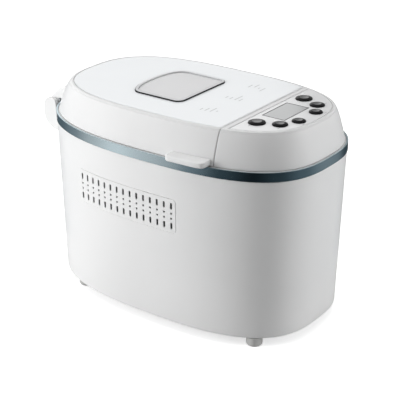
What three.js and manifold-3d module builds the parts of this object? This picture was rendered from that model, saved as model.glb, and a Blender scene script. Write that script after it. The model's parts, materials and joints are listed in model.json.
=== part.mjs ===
// A long-loaf bread machine: a tapered oval body on four feet, a metal trim band, a lid hinged at the
// rear end, a fixed control head at the front end, and the oven, pan, drive and boards inside.
// Millimetres. +X runs from the hinge to the controls, +Z is up, and the floor is z = 0.

import * as THREE from 'three';
import { mergeVertices } from 'three/addons/utils/BufferGeometryUtils.js';
import Module from 'manifold-3d';

const wasm = await Module();
wasm.setup();

// ---------------------------------------------------------------- driving dimensions

const bodyLength = 380; // over the trim band
const bodyWidth = 227.4; // over the trim band
const bodyHeight = 201.4; // bottom edge to the trim band
const endTaper = 6.2; // how far each end leans in at the bottom edge
const sideTaper = 2.8; // how far each long side leans in at the bottom edge
const rearPower = 2.43; // squareness of the oval's rear half
const frontPower = 2.85; // squareness of the oval's front half
const wall = 2.5; // moulded walls
const clearance = 0.3; // between pieces that touch
const runningGap = 0.6; // between pieces that pass each other

const bandHeight = 11.2;
const bandThickness = 2;
const bandStandOut = 0.8; // the band's face beyond the body wall

const headHeight = 41.1; // lid and control head, edge to flat top
const headInset = 3.5; // their walls behind the band's face
const rearLean = 23.5; // how far the rear end leans in by the top
const frontLean = 11.5;
const sideLean = 12.7;
const topRearPower = 2.8; // squareness of the rear half at the top
const shoulder = 2.5; // radius of the top edge
const topWall = 4; // thickness of the flat top
const rim = 3.5; // moulded rim around the inset panels
const seamX = 99.8; // middle of the gap between the lid and the control head

const footHeight = 12;
const footRadius = 10;
const footFrontX = 141.9;
const footRearX = -117.9;
const footY = 76;
const footStudRadius = 1.8;

const basePlateThickness = 2.4;
const basePlateLift = 0.6; // above the body's bottom edge

const windowRear = -67.5;
const windowFront = 13.5;
const windowWidth = 98;
const windowCorner = 10;
const gasketWidth = 3;
const gasketStandOut = 1; // above the lid panel
const glassThickness = 2.6;
const panelThickness = 1.1;
const panelSink = 0.1; // panel faces below the rim

const overlayEdgeX = 106.5; // straight edge of the control panel
const lcdLength = 29.5; // along X
const lcdWidth = 51.6;
const lcdX = 128.15;
const buttonStandOut = 2.2;
const buttonTravel = 1.2;
const buttons = [
  { name: 'button_menu', x: 121.9, y: -50, radius: 10 },
  { name: 'button_up', x: 146.2, y: -39.9, radius: 8.9 },
  { name: 'button_down', x: 157.3, y: -18.3, radius: 8 },
  { name: 'button_size', x: 157.3, y: 18.3, radius: 8 },
  { name: 'button_crust', x: 146.2, y: 39.9, radius: 8.9 },
  { name: 'button_start', x: 121.9, y: 50, radius: 10 },
];

const ventFirstX = -94.5;
const ventPitch = 10.1;
const ventColumns = 15;
const ventMiddleZ = 141.1;
const ventSlotOffset = 12.6; // slot centres from the middle line
const ventHoleOffset = 3.3;
const ventSlotLength = 8.3;
const ventSlotWidth = 2.9;
const ventHoleHalf = 1.25;
const ventBorder = 4.6; // plate beyond the slots
const ventCorner = 4;
const ventThickness = 2.2;

const tabFirstX = 45;
const tabLastX = 96.5;
const tabStandOut = 8.9; // outer edge of the lift tabs beyond the band
const tabHeight = 7.4;

const hingeAxisOut = 10; // hinge axis beyond the band's rear end
const hingeAxisRise = 0.6; // and above the band's lower edge
const hingeStandOut = 23.3; // outer face of the hinge bracket beyond the band's rear end
const hingeWidth = 80; // over the bracket's cheeks
const cheekThickness = 5.5;
const hingePinRadius = 2;
const barrelWall = 6.5; // around the pin
const hingeSideGap = 1;

const ovenX = -35; // centre of the oven
const ovenHalfLength = 122; // inside
const ovenHalfWidth = 74;
const ovenCorner = 44;
const ovenFloor = 42;
const sheet = 1; // oven, liner and shield sheet metal
const ovenFlange = 8;
const deckThickness = 2.5;
const deckDrop = 5.1; // deck surface below the band's top

const panEndGap = 14; // pan to oven wall at each end
const panSideGap = 15;
const panCorner = 28;
const panDraft = 5; // how much narrower each side is at the bottom
const panFloor = 62;
const panRimZ = 178;
const panRimWidth = 4;
const panSheet = 1.6;
const bailRadius = 2.3;
const bailReach = 50; // pivot to grip
const bailPivotRise = 6; // above the rim

const spindleSpacing = 110;
const spindleRadius = 4;
const paddleTipGap = 13; // paddle tips to each other and to the pan's ends, about
const paddleHeight = 34;
const spindleRise = 29; // spindle top above the pan's floor

const elementRadius = 3.25;
const elementZ = 54;
const elementEndY = 9;
const elementWallGap = 4.3;
const terminalNeckRadius = 5.1;

const frameZ = 33; // underside of the drive frame
const frameThickness = 2;
const frameHalfWidth = 36;
const pulleyGap = 14; // between the two large pulleys
const grooveDepth = 2.5;
const pulleyFlange = 1.2;
const grooveHeight = 6;
const lowerGrooveZ = 9.7;
const upperGrooveZ = 17.3;
const beltThickness = 2;
const beltHeight = 5;
const motorSetBack = 53; // motor's axis beyond the oven's front wall
const motorRadius = 32;
const motorHeight = 68;
const motorShaftRadius = 3;
const motorPulleyRadius = 10;

const boardThickness = 1.6;
const controlBoardDrop = 12.5; // board's top face below the head's top
const switchHeight = 4.3;

const linerDrop = 15.6; // inner face of the liner's roof below the lid's top
const innerGlassHalfLength = 33;
const innerGlassHalfWidth = 40;

const probeRadius = 2.5;
const probeSetBack = 67; // behind the oven's front wall
const probeZ = 120;

const glandX = 84;
const glandZ = 20;
const glandNeckRadius = 5;

// ---------------------------------------------------------------- levels that follow from them

const bandTop = bodyHeight + bandHeight;
const headBottom = bandTop + clearance + 0.1;
const headTop = headBottom + headHeight;
const headCeiling = headTop - topWall;
const deckTop = bandTop - deckDrop;
const deckBottom = deckTop - deckThickness;
const windowMiddleX = (windowRear + windowFront) / 2;
const halfSeam = 0.3;
const lidEndX = seamX - halfSeam;
const headEndX = seamX + halfSeam;
const linerFlangeZ = headBottom + 2.2;
const linerRoofZ = headTop - linerDrop;
const controlBoardTop = headTop - controlBoardDrop;
const spindles = [ovenX + spindleSpacing / 2, ovenX - spindleSpacing / 2];
const pulleyRadius = (spindleSpacing - pulleyGap) / 2;
const motorX = ovenX + ovenHalfLength + motorSetBack;
const panHalfLength = ovenHalfLength - panEndGap; // outside, at the rim
const panHalfWidth = ovenHalfWidth - panSideGap;
const probeX = ovenX + ovenHalfLength - probeSetBack;
const paddleReach = Math.min(spindleSpacing / 2, panHalfLength - spindleSpacing / 2) - paddleTipGap;
const recessFloor = headTop - panelSink - panelThickness - clearance;
const tabReach = bodyWidth / 2 + tabStandOut;
const hingeX = -bodyLength / 2 - hingeAxisOut;
const hingeZ = bodyHeight + hingeAxisRise;
const hingeReach = bodyLength / 2 + hingeStandOut;
const barrelRadius = hingePinRadius + barrelWall;
const objectShiftX = hingeStandOut / 2;

const ringSteps = 48;
const roundSides = 16;
const hiddenSides = 10; // posts and bores that are out of sight
const white = { color: 0xeceded, roughness: 0.28, metalness: 0 };
const steel = { color: 0xb9bdc0, roughness: 0.35, metalness: 1 };
const aluminium = { color: 0xc9cccf, roughness: 0.45, metalness: 1 };
const darkPlastic = { color: 0x17181a, roughness: 0.35, metalness: 0 };
const nonStick = { color: 0x2c2d30, roughness: 0.5, metalness: 0.2 };
const greyPlastic = { color: 0x8d9194, roughness: 0.5, metalness: 0 };
const rubber = { color: 0xdfe0e0, roughness: 0.7, metalness: 0 };
const clearGlass = { color: 0xd2d6d8, roughness: 0.1, metalness: 0 };

const machine = new THREE.Group();
machine.position.set(objectShiftX, 0, footHeight);

// ---------------------------------------------------------------- geometry helpers

/** A geometry with its shared vertices merged and its zero-area faces dropped. */
function bare(geometry) {
  const copy = geometry.clone();
  copy.deleteAttribute('normal');
  copy.deleteAttribute('uv');
  const merged = mergeVertices(copy, 1e-4);
  const index = merged.index.array;
  const kept = [];
  for (let i = 0; i < index.length; i += 3) {
    const [a, b, c] = [index[i], index[i + 1], index[i + 2]];
    if (a !== b && b !== c && c !== a) kept.push(a, b, c);
  }
  merged.setIndex(kept);
  return merged;
}

/** A closed geometry as a manifold-3d solid. */
function solid(geometry) {
  const closed = bare(geometry);
  const vertProperties = Float32Array.from(closed.attributes.position.array);
  const triVerts = Uint32Array.from(closed.index.array);
  return new wasm.Manifold(new wasm.Mesh({ numProp: 3, vertProperties, triVerts }));
}

/** A manifold-3d solid as a geometry. */
function geometryOf(body) {
  const mesh = body.getMesh();
  const geometry = new THREE.BufferGeometry();
  geometry.setAttribute('position', new THREE.BufferAttribute(mesh.vertProperties, 3));
  geometry.setIndex(new THREE.BufferAttribute(mesh.triVerts, 1));
  return geometry;
}

/** One solid from several geometries. */
function joined(...geometries) {
  return geometries.map(solid).reduce((whole, part) => whole.add(part));
}

/** The geometry left when tools are cut from a solid. */
function cut(body, ...tools) {
  return tools.reduce((left, tool) => left.subtract(solid(tool)), body);
}

/** Adds a named mesh to the machine. */
function add(name, shape, finish) {
  const geometry = shape.isBufferGeometry ? bare(shape) : geometryOf(shape);
  geometry.computeVertexNormals();
  const mesh = new THREE.Mesh(geometry, new THREE.MeshStandardMaterial(finish));
  mesh.name = name;
  machine.add(mesh);
}

/** A box between two corners. */
function box(x0, x1, y0, y1, z0, z1) {
  const geometry = new THREE.BoxGeometry(x1 - x0, y1 - y0, z1 - z0);
  return geometry.translate((x0 + x1) / 2, (y0 + y1) / 2, (z0 + z1) / 2);
}

/** A solid of revolution about Z at (x, y); the profile lists radius and height going up outside. */
function lathe(profile, x = 0, y = 0, sides = roundSides) {
  const points = profile.map(([radius, height]) => new THREE.Vector2(radius, height));
  return new THREE.LatheGeometry(points, sides).rotateX(Math.PI / 2).translate(x, y, 0);
}

/** An upright cylinder. */
function post(radius, z0, z1, x, y, sides = roundSides) {
  return lathe([[0, z0], [radius, z0], [radius, z1], [0, z1]], x, y, sides);
}

/** A flat shape in X and Y, extruded up from z0 to z1. */
function prism(shape, z0, z1, curveSegments = 5) {
  const settings = { depth: z1 - z0, bevelEnabled: false, curveSegments };
  return new THREE.ExtrudeGeometry(shape, settings).translate(0, 0, z0);
}

/** A flat shape in X and Z, extruded along Y from y0 to y1. */
function prismAlongY(shape, y0, y1, curveSegments = 5) {
  return prism(shape, -y1, -y0, curveSegments).rotateX(Math.PI / 2);
}

/** A flat shape in Y and Z, extruded along X from x0 to x1. */
function prismAlongX(shape, x0, x1, curveSegments = 5) {
  const turn = new THREE.Matrix4();
  turn.makeBasis(new THREE.Vector3(0, 1, 0), new THREE.Vector3(0, 0, 1), new THREE.Vector3(1, 0, 0));
  return prism(shape, x0, x1, curveSegments).applyMatrix4(turn);
}

/** A polygon through the listed points. */
function polygon(points) {
  return new THREE.Shape(points.map(([x, y]) => new THREE.Vector2(x, y)));
}

/** A rectangle with rounded corners, as a shape. */
function roundedShape(x0, x1, y0, y1, radius, type = THREE.Shape) {
  const shape = new type();
  shape.moveTo(x0 + radius, y0);
  shape.lineTo(x1 - radius, y0);
  shape.absarc(x1 - radius, y0 + radius, radius, -Math.PI / 2, 0, false);
  shape.lineTo(x1, y1 - radius);
  shape.absarc(x1 - radius, y1 - radius, radius, 0, Math.PI / 2, false);
  shape.lineTo(x0 + radius, y1);
  shape.absarc(x0 + radius, y1 - radius, radius, Math.PI / 2, Math.PI, false);
  shape.lineTo(x0, y0 + radius);
  shape.absarc(x0 + radius, y0 + radius, radius, Math.PI, Math.PI * 1.5, false);
  return shape;
}

/** A tube of the given radius along a path. */
function tube(path, radius, steps) {
  const section = new THREE.Shape();
  section.absarc(0, 0, radius, 0, Math.PI * 2, false);
  const settings = { steps, curveSegments: 4, extrudePath: path, bevelEnabled: false };
  return new THREE.ExtrudeGeometry(section, settings);
}

/** A path through corner points, each corner rounded over the listed distance. */
function roundedPath(points, distances) {
  const path = new THREE.CurvePath();
  const at = points.map((p) => new THREE.Vector3(...p));
  let from = at[0];
  for (let i = 1; i < at.length - 1; i += 1) {
    const before = at[i].clone().add(at[i - 1].clone().sub(at[i]).setLength(distances[i]));
    const after = at[i].clone().add(at[i + 1].clone().sub(at[i]).setLength(distances[i]));
    path.add(new THREE.LineCurve3(from, before));
    path.add(new THREE.QuadraticBezierCurve3(before, at[i], after));
    from = after;
  }
  path.add(new THREE.LineCurve3(from, at[at.length - 1]));
  return path;
}

/** A skin over rings of equal length: capped with fans at both ends, or closed on itself. */
function loft(rings, closedOnItself = false) {
  const count = rings[0].length;
  const positions = rings.flat().flatMap((p) => [p.x, p.y, p.z]);
  const index = [];
  const last = closedOnItself ? rings.length : rings.length - 1;
  for (let i = 0; i < last; i += 1) {
    const upper = (i + 1) % rings.length;
    for (let j = 0; j < count; j += 1) {
      const next = (j + 1) % count;
      const [a, b] = [i * count + j, i * count + next];
      const [c, d] = [upper * count + next, upper * count + j];
      index.push(a, b, c, a, c, d);
    }
  }
  if (!closedOnItself) {
    capWithFan(rings[0], 0, true, positions, index);
    capWithFan(rings[rings.length - 1], (rings.length - 1) * count, false, positions, index);
  }
  const geometry = new THREE.BufferGeometry();
  geometry.setAttribute('position', new THREE.Float32BufferAttribute(positions, 3));
  geometry.setIndex(index);
  return geometry;
}

/** Closes one ring with a fan of triangles about its middle. */
function capWithFan(ring, offset, facingBack, positions, index) {
  const middle = ring.reduce((sum, p) => sum.add(p), new THREE.Vector3()).divideScalar(ring.length);
  const centre = positions.length / 3;
  positions.push(middle.x, middle.y, middle.z);
  for (let j = 0; j < ring.length; j += 1) {
    const next = (j + 1) % ring.length;
    if (facingBack) index.push(centre, offset + next, offset + j);
    else index.push(centre, offset + j, offset + next);
  }
}

/** A ring of points on an oval whose rear and front halves have their own length and squareness. */
function oval(rear, front, side, powerRear, z, steps = ringSteps) {
  return Array.from({ length: steps }, (_, i) => {
    const angle = (i / steps) * Math.PI * 2;
    const [c, s] = [Math.cos(angle), Math.sin(angle)];
    const power = c > 1e-9 ? frontPower : powerRear;
    const reach = c > 1e-9 ? front : rear;
    const x = reach * Math.sign(c) * Math.abs(c) ** (2 / power);
    const y = side * Math.sign(s) * Math.abs(s) ** (2 / power);
    return new THREE.Vector3(x, y, z);
  });
}

/** The body wall's outline at a height, moved in by inset. */
function bodyRing(z, inset, steps = ringSteps) {
  const low = 1 - z / bodyHeight;
  const ends = bodyLength / 2 - bandStandOut - inset - endTaper * low;
  const side = bodyWidth / 2 - bandStandOut - inset - sideTaper * low;
  return oval(ends, ends, side, rearPower, z, steps);
}

/** The trim band's outline at a height, moved in by inset. */
function bandRing(z, inset) {
  const ends = bodyLength / 2 - inset;
  return oval(ends, ends, bodyWidth / 2 - inset, rearPower, z);
}

/** The lid and control head's outline at a height, moved in by inset. */
function headRing(z, inset) {
  const rise = (z - headBottom) / headHeight;
  const lean = 0.75 * rise + 0.25 * rise ** 3;
  const reach = bodyLength / 2 - headInset - inset;
  const side = bodyWidth / 2 - headInset - inset - sideLean * lean;
  const power = rearPower + (topRearPower - rearPower) * lean;
  return oval(reach - rearLean * lean, reach - frontLean * lean, side, power, z);
}

/** The solid inside the lid and control head's outer surface, grown or shrunk by inset. */
function headSolid(inset = 0) {
  const lower = [0, 0.4, 0.75].map((rise) => headRing(headBottom + rise * headHeight, inset));
  const edge = [0, 45, 90].map((degrees) => {
    const angle = THREE.MathUtils.degToRad(degrees);
    const z = headTop - shoulder + shoulder * Math.sin(angle);
    return headRing(z, inset + shoulder * (1 - Math.cos(angle)));
  });
  return loft([...lower, ...edge]);
}

/** The hollow inside the lid and control head. */
function headHollow() {
  const heights = [headBottom - 1, headBottom + headHeight / 2, headCeiling];
  return loft(heights.map((z) => headRing(z, wall)));
}

/** A disc of the flat top's outline, moved in by inset. */
function topPlate(inset, z0, z1) {
  const flat = headRing(headTop, inset);
  return loft([z0, z1].map((z) => flat.map((p) => new THREE.Vector3(p.x, p.y, z))));
}

/** A box much larger than the object that reaches from x0 to x1. */
function slab(x0, x1) {
  return box(x0, x1, -bodyWidth, bodyWidth, -bodyHeight, 2 * bodyHeight);
}

/** Half the width between the body's inner walls at x, at a height. */
function innerHalfWidth(x, z) {
  const low = 1 - z / bodyHeight;
  const reach = bodyLength / 2 - bandStandOut - wall - endTaper * low;
  const side = bodyWidth / 2 - bandStandOut - wall - sideTaper * low;
  const power = x > 0 ? frontPower : rearPower;
  return side * (1 - (Math.abs(x) / reach) ** power) ** (1 / power);
}

/** A ring of points on a rounded rectangle about (x, 0). */
function roundRing(x, halfLength, halfWidth, radius, z, perCorner = 4) {
  const points = [];
  [[1, 1], [-1, 1], [-1, -1], [1, -1]].forEach(([sx, sy], quarter) => {
    for (let i = 0; i <= perCorner; i += 1) {
      const angle = ((quarter + i / perCorner) * Math.PI) / 2;
      const px = x + sx * (halfLength - radius) + radius * Math.cos(angle);
      const py = sy * (halfWidth - radius) + radius * Math.sin(angle);
      points.push(new THREE.Vector3(px, py, z));
    }
  });
  return points;
}

// ---------------------------------------------------------------- body, feet and band

/** Where the four feet stand. */
function footPlaces() {
  return [
    [footFrontX, -footY],
    [footFrontX, footY],
    [footRearX, -footY],
    [footRearX, footY],
  ];
}

/** The vent plate's outline in X and Z, grown by a margin. */
function ventOutline(grow) {
  const reach = ventSlotOffset + ventSlotLength / 2 + ventBorder + grow;
  const first = ventFirstX - ventSlotWidth / 2 - ventBorder - grow;
  const lastX = ventFirstX + ventPitch * (ventColumns - 1) + ventSlotWidth / 2 + ventBorder + grow;
  return roundedShape(first, lastX, ventMiddleZ - reach, ventMiddleZ + reach, ventCorner + grow);
}

/** The moulded outer shell, open above and below, with vent openings and posts for the foot studs. */
function outerBody() {
  const edge = 1;
  const shell = loft([
    bodyRing(0, edge),
    bodyRing(edge, 0),
    bodyRing(bodyHeight - clearance, 0),
    bodyRing(bodyHeight - clearance, wall),
    bodyRing(0, wall),
  ], true);
  const postTop = 16;
  const postRadius = 4.5;
  const postBottom = basePlateLift + basePlateThickness + clearance;
  const posts = footPlaces().flatMap(([x, y]) => {
    const reach = innerHalfWidth(x, 0) + wall / 2;
    const rib = y > 0
      ? box(x - 1.2, x + 1.2, y, reach, postBottom, postTop)
      : box(x - 1.2, x + 1.2, -reach, y, postBottom, postTop);
    return [post(postRadius, postBottom, postTop, x, y, hiddenSides), rib];
  });
  const holes = footPlaces().map(([x, y]) => (
    post(footStudRadius + clearance, 0, postTop + 1, x, y, hiddenSides)
  ));
  const vents = [-1, 1].map((side) => {
    const [y0, y1] = side < 0 ? [-bodyWidth, -bodyWidth / 4] : [bodyWidth / 4, bodyWidth];
    return prismAlongY(ventOutline(clearance), y0, y1, 2);
  });
  const gland = placeGland(post(glandNeckRadius + clearance, -10, 10, 0, 0));
  add('outer_body', cut(joined(shell, ...posts), ...holes, ...vents, gland), white);
}

/** The louvre plate's openings: in each column a slot, two small holes and a slot. */
function ventHoles(y0, y1) {
  const holes = [];
  for (let column = 0; column < ventColumns; column += 1) {
    const x = ventFirstX + ventPitch * column;
    [-1, 1].forEach((sign) => {
      const [slot, half] = [ventSlotWidth / 2, ventSlotLength / 2];
      const slotZ = ventMiddleZ + sign * ventSlotOffset;
      const holeZ = ventMiddleZ + sign * ventHoleOffset;
      holes.push(box(x - slot, x + slot, y0, y1, slotZ - half, slotZ + half));
      const [x0, x1] = [x - ventHoleHalf, x + ventHoleHalf];
      holes.push(box(x0, x1, y0, y1, holeZ - ventHoleHalf, holeZ + ventHoleHalf));
    });
  }
  return holes;
}

/** One louvre plate that follows the body wall; side is -1 or 1. */
function ventGrille(side) {
  const [y0, y1] = side < 0 ? [-bodyWidth, -bodyWidth / 4] : [bodyWidth / 4, bodyWidth];
  const flat = solid(prismAlongY(ventOutline(0), y0, y1, 2));
  const [low, high] = [ventMiddleZ - 30, ventMiddleZ + 30];
  const coarse = 36;
  const skin = loft([
    bodyRing(low, -clearance, coarse),
    bodyRing(high, -clearance, coarse),
    bodyRing(high, ventThickness - clearance, coarse),
    bodyRing(low, ventThickness - clearance, coarse),
  ], true);
  const plate = flat.intersect(solid(skin));
  add(side < 0 ? 'vent_grille_left' : 'vent_grille_right', cut(plate, ...ventHoles(y0, y1)), white);
}

/** Moves a piece made along Z to the gland's place, with +Z pointing out of the body wall. */
function placeGland(geometry) {
  const near = 0.5;
  const [y0, y1] = [innerHalfWidth(glandX - near, glandZ), innerHalfWidth(glandX + near, glandZ)];
  const turn = Math.atan2(y0 - y1, 2 * near);
  geometry.rotateX(-Math.PI / 2).rotateZ(-turn);
  return geometry.translate(glandX, (y0 + y1) / 2, glandZ);
}

/** The cord's empty inlet: a flanged collar in the wall with a nut behind it. */
function cordGland() {
  const bore = 3.5;
  const flange = 8;
  const outside = wall + 2 * clearance;
  const profile = [
    [bore, -6], [flange - 0.5, -6], [flange - 0.5, -clearance - 0.2],
    [glandNeckRadius, -clearance - 0.2], [glandNeckRadius, outside], [flange, outside],
    [flange - 1, outside + 3], [bore, outside + 3], [bore, -6],
  ];
  add('cord_gland', placeGland(lathe(profile)), darkPlastic);
}

/** The flat plate that closes the bottom, with holes for the foot studs and cooling slots. */
function basePlate() {
  const top = basePlateLift + basePlateThickness;
  const plate = loft([bodyRing(basePlateLift, wall + 0.4), bodyRing(top, wall + 0.4)]);
  const holes = footPlaces().map(([x, y]) => (
    post(footStudRadius + clearance, -1, top + 1, x, y, hiddenSides)
  ));
  const slots = [];
  for (let row = 0; row < 5; row += 1) {
    const x = motorX - 20 + row * 10;
    slots.push(box(x - 1.5, x + 1.5, -45, -18, -1, top + 1));
    slots.push(box(x - 1.5, x + 1.5, 18, 45, -1, top + 1));
  }
  add('base_plate', cut(solid(plate), ...holes, ...slots), greyPlastic);
}

/** Four round rubber feet; each has a stud up through the base plate into a post of the body. */
function feet() {
  const names = ['foot_front_left', 'foot_front_right', 'foot_rear_left', 'foot_rear_right'];
  const [edge, boss] = [1.8, 6.5];
  const bossTop = basePlateLift - clearance;
  const studTop = 13;
  const profile = [
    [0, -footHeight], [footRadius - edge, -footHeight], [footRadius, edge - footHeight],
    [footRadius, -clearance], [boss, -clearance], [boss, bossTop], [footStudRadius, bossTop],
    [footStudRadius, studTop], [0, studTop],
  ];
  footPlaces().forEach(([x, y], i) => add(names[i], lathe(profile, x, y), rubber));
}

/** The metal trim band around the top of the body. */
function trimBand() {
  const edge = 0.5;
  const rings = [
    bandRing(bodyHeight, edge),
    bandRing(bodyHeight + edge, 0),
    bandRing(bandTop - edge, 0),
    bandRing(bandTop, edge),
    bandRing(bandTop, bandThickness),
    bandRing(bodyHeight, bandThickness),
  ];
  add('trim_band', loft(rings, true), { color: 0x6f8088, roughness: 0.22, metalness: 1 });
}

/** The deck under the lid: a skirt inside the band and a plate around the oven's mouth. */
function topDeck() {
  const skirtTop = bandTop - clearance;
  const inner = headInset + wall;
  const skirtBottom = bodyHeight - 12;
  const skirt = loft([
    bodyRing(skirtBottom, wall + clearance),
    bodyRing(bodyHeight - clearance, wall + clearance),
    bandRing(bodyHeight + clearance, bandThickness + clearance),
    bandRing(skirtTop, bandThickness + clearance),
    bandRing(skirtTop, inner),
    bandRing(skirtBottom, inner + wall),
  ], true);
  const plate = loft([bandRing(deckBottom, inner - 1), bandRing(deckTop, inner - 1)]);
  const mouth = loft([deckBottom - 1, deckTop + 1].map((z) => roundRing(
    ovenX, ovenHalfLength + sheet + clearance, ovenHalfWidth + sheet + clearance, ovenCorner + sheet, z,
  )));
  const wires = box(112, 140, 48, 66, deckBottom - 1, deckTop + 1);
  add('top_deck', cut(joined(skirt, plate), mouth, wires), white);
}

// ---------------------------------------------------------------- oven and heater

/** The sheet-metal oven: an open tub with a flange that rests on the deck. */
function ovenCavity() {
  const outer = (grow, z) => roundRing(
    ovenX, ovenHalfLength + sheet + grow, ovenHalfWidth + sheet + grow, ovenCorner + sheet + grow, z,
  );
  const inner = (z, shrink = 0) => roundRing(
    ovenX, ovenHalfLength - shrink, ovenHalfWidth - shrink, ovenCorner - shrink, z,
  );
  const bend = 3;
  const flangeZ = deckTop + clearance;
  const tub = loft([
    outer(-bend, ovenFloor),
    outer(0, ovenFloor + bend),
    outer(0, flangeZ),
    outer(ovenFlange, flangeZ),
    outer(ovenFlange, flangeZ + sheet),
    inner(flangeZ + sheet),
    inner(ovenFloor + sheet + bend),
    inner(ovenFloor + sheet, bend),
  ]);
  const bearingHoles = spindles.map((x) => post(10, ovenFloor - 5, ovenFloor + 5, x, 0));
  const wallX = ovenX + ovenHalfLength;
  const elementHoles = [-1, 1].map((side) => (
    alongX(rod(terminalNeckRadius + 0.4, wallX - 4, wallX + 5), side * elementEndY, elementZ)
  ));
  const probeHole = alongY(
    rod(probeRadius + 0.7, ovenHalfWidth - 14, ovenHalfWidth + 16), probeX, probeZ,
  );
  add('oven_cavity', cut(solid(tub), ...bearingHoles, ...elementHoles, probeHole), aluminium);
}

/** The profile of a plain rod between two places on its axis. */
function rod(radius, from, to) {
  return [[0, from], [radius, from], [radius, to], [0, to]];
}

/** A solid of revolution about a line along X; the profile lists radius and x. */
function alongX(profile, y, z) {
  return lathe(profile).rotateY(Math.PI / 2).translate(0, y, z);
}

/** A solid of revolution about a line along Y; the profile lists radius and y. */
function alongY(profile, x, z) {
  return lathe(profile).rotateX(-Math.PI / 2).translate(x, 0, z);
}

/** The tubular element: a loop around the pan with both ends out through the front wall. */
function heatingElement() {
  const gap = elementWallGap + elementRadius;
  const [halfX, y] = [ovenHalfLength - gap, ovenHalfWidth - gap];
  const [front, rear] = [ovenX + halfX, ovenX - halfX];
  const end = ovenX + ovenHalfLength + 11;
  const points = [
    [end, -elementEndY], [front, -elementEndY], [front, -y], [rear, -y], [rear, y], [front, y],
    [front, elementEndY], [end, elementEndY],
  ];
  const bend = (ovenCorner - gap) * 1.17;
  const tight = 5;
  const path = roundedPath(
    points.map(([px, py]) => [px, py, elementZ]),
    [0, tight, bend, bend, bend, bend, tight, 0],
  );
  add('heating_element', tube(path, elementRadius, 46), steel);
}

/** The ceramic terminal block that carries the element's ends through the oven wall. */
function terminalBlock() {
  const x = ovenX + ovenHalfLength;
  const bore = elementRadius + 0.4;
  const outer = terminalNeckRadius;
  const neck = [[bore, x - 1.5], [outer, x - 1.5], [outer, x + 4], [bore, x + 4], [bore, x - 1.5]];
  const bushes = [-1, 1].map((side) => alongX(neck, side * elementEndY, elementZ));
  const plate = box(x + sheet + clearance, x + 5, -18, 18, elementZ - 8, elementZ + 8);
  const reach = 5 * elementRadius;
  const bores = [-1, 1].map((side) => (
    alongX(rod(bore, x - reach, x + reach), side * elementEndY, elementZ)
  ));
  const ceramic = { color: 0xe9e2d2, roughness: 0.6, metalness: 0 };
  add('element_terminal_block', cut(joined(plate, ...bushes), ...bores), ceramic);
}

/** The oven's temperature sensor, through the right wall. */
function temperatureProbe() {
  const y = ovenHalfWidth;
  const neck = probeRadius + 0.3;
  const profile = [
    [0, y - 10], [probeRadius, y - 9], [probeRadius, y - 2.4], [6, y - 2.4], [6, y - clearance],
    [neck, y - clearance], [neck, y + sheet + clearance], [5, y + sheet + clearance], [5, y + 5],
    [probeRadius, y + 5], [probeRadius, y + 12], [0, y + 12],
  ];
  add('temperature_probe', alongY(profile, probeX, probeZ), steel);
}

/** The pan clip: a strip across the oven floor with a leaf spring up each side of the pan. */
function panClip() {
  const z = ovenFloor + sheet + clearance;
  const y = panHalfWidth - 2.1;
  const outside = [[y, z], [y + 0.8, z + 1], [y + 0.8, z + 24], [y, z + 34], [y + 1.5, z + 43]];
  const inside = [[y + 0.7, z + 43.2], [y - 0.8, z + 34], [y, z + 24], [y, z + 1.6], [y - 0.8, z + 0.8]];
  const outline = [...outside, ...inside];
  const mirrored = outline.map(([side, height]) => [-side, height]).reverse();
  const half = 10;
  const strip = prismAlongX(polygon([...outline, ...mirrored]), ovenX - half, ovenX + half);
  add('pan_clip', strip, steel);
}

/** The sheet shield between the oven and the motor, cut out around the element's ends. */
function heatShield() {
  const x = ovenX + ovenHalfLength + 7;
  const top = deckBottom - clearance;
  const plate = box(x, x + sheet, -62, 62, frameZ + frameThickness + clearance, top);
  const opening = box(x - 5, x + 5, -20, 20, elementZ - 10, elementZ + 10);
  add('heat_shield', cut(solid(plate), opening), steel);
}

// ---------------------------------------------------------------- pan, handle and paddles

/** The bread pan: a drafted tub with a rolled rim, an ear at each end and two spindle holes. */
function breadPan() {
  const at = (z, grow) => {
    const low = (panDraft * (panRimZ - z)) / (panRimZ - panFloor);
    const change = grow - low;
    return roundRing(ovenX, panHalfLength + change, panHalfWidth + change, panCorner + change, z);
  };
  const tub = loft([
    at(panFloor, -4),
    at(panFloor + 1.2, -1.2),
    at(panFloor + 4, 0),
    at(panRimZ - 1.8, 0),
    at(panRimZ - 1.5, panRimWidth),
    at(panRimZ, panRimWidth),
    at(panRimZ, -panSheet),
    at(panFloor + 4.6, -panSheet),
    at(panFloor + panSheet, -5),
  ]);
  const earX = panHalfLength + 2;
  const pivotZ = panRimZ + bailPivotRise;
  const ears = [-1, 1].map((side) => (
    box(ovenX + side * earX - 1, ovenX + side * earX + 1, -7, 7, panRimZ - 1, pivotZ + 6)
  ));
  const hole = bailRadius + 0.7;
  const bore = rod(hole, -2 * panHalfLength, 2 * panHalfLength);
  const bushHoles = spindles.map((x) => post(7.3, panFloor - 5, panFloor + 5, x, 0));
  add('bread_pan', cut(joined(tub, ...ears), alongX(bore, 0, pivotZ), ...bushHoles), nonStick);
}

/** A flanged bush that carries a spindle in the pan's floor. */
function panBush(index) {
  const [bore, neck] = [spindleRadius + clearance, 7];
  const [low, high] = [panFloor - clearance, panFloor + panSheet + clearance];
  const profile = [
    [bore, low - 3], [12, low - 3], [12, low], [neck, low], [neck, high], [11, high], [10, high + 4],
    [bore, high + 4], [bore, low - 3],
  ];
  add(`pan_bush_${index + 1}`, lathe(profile, spindles[index], 0), steel);
}

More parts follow.
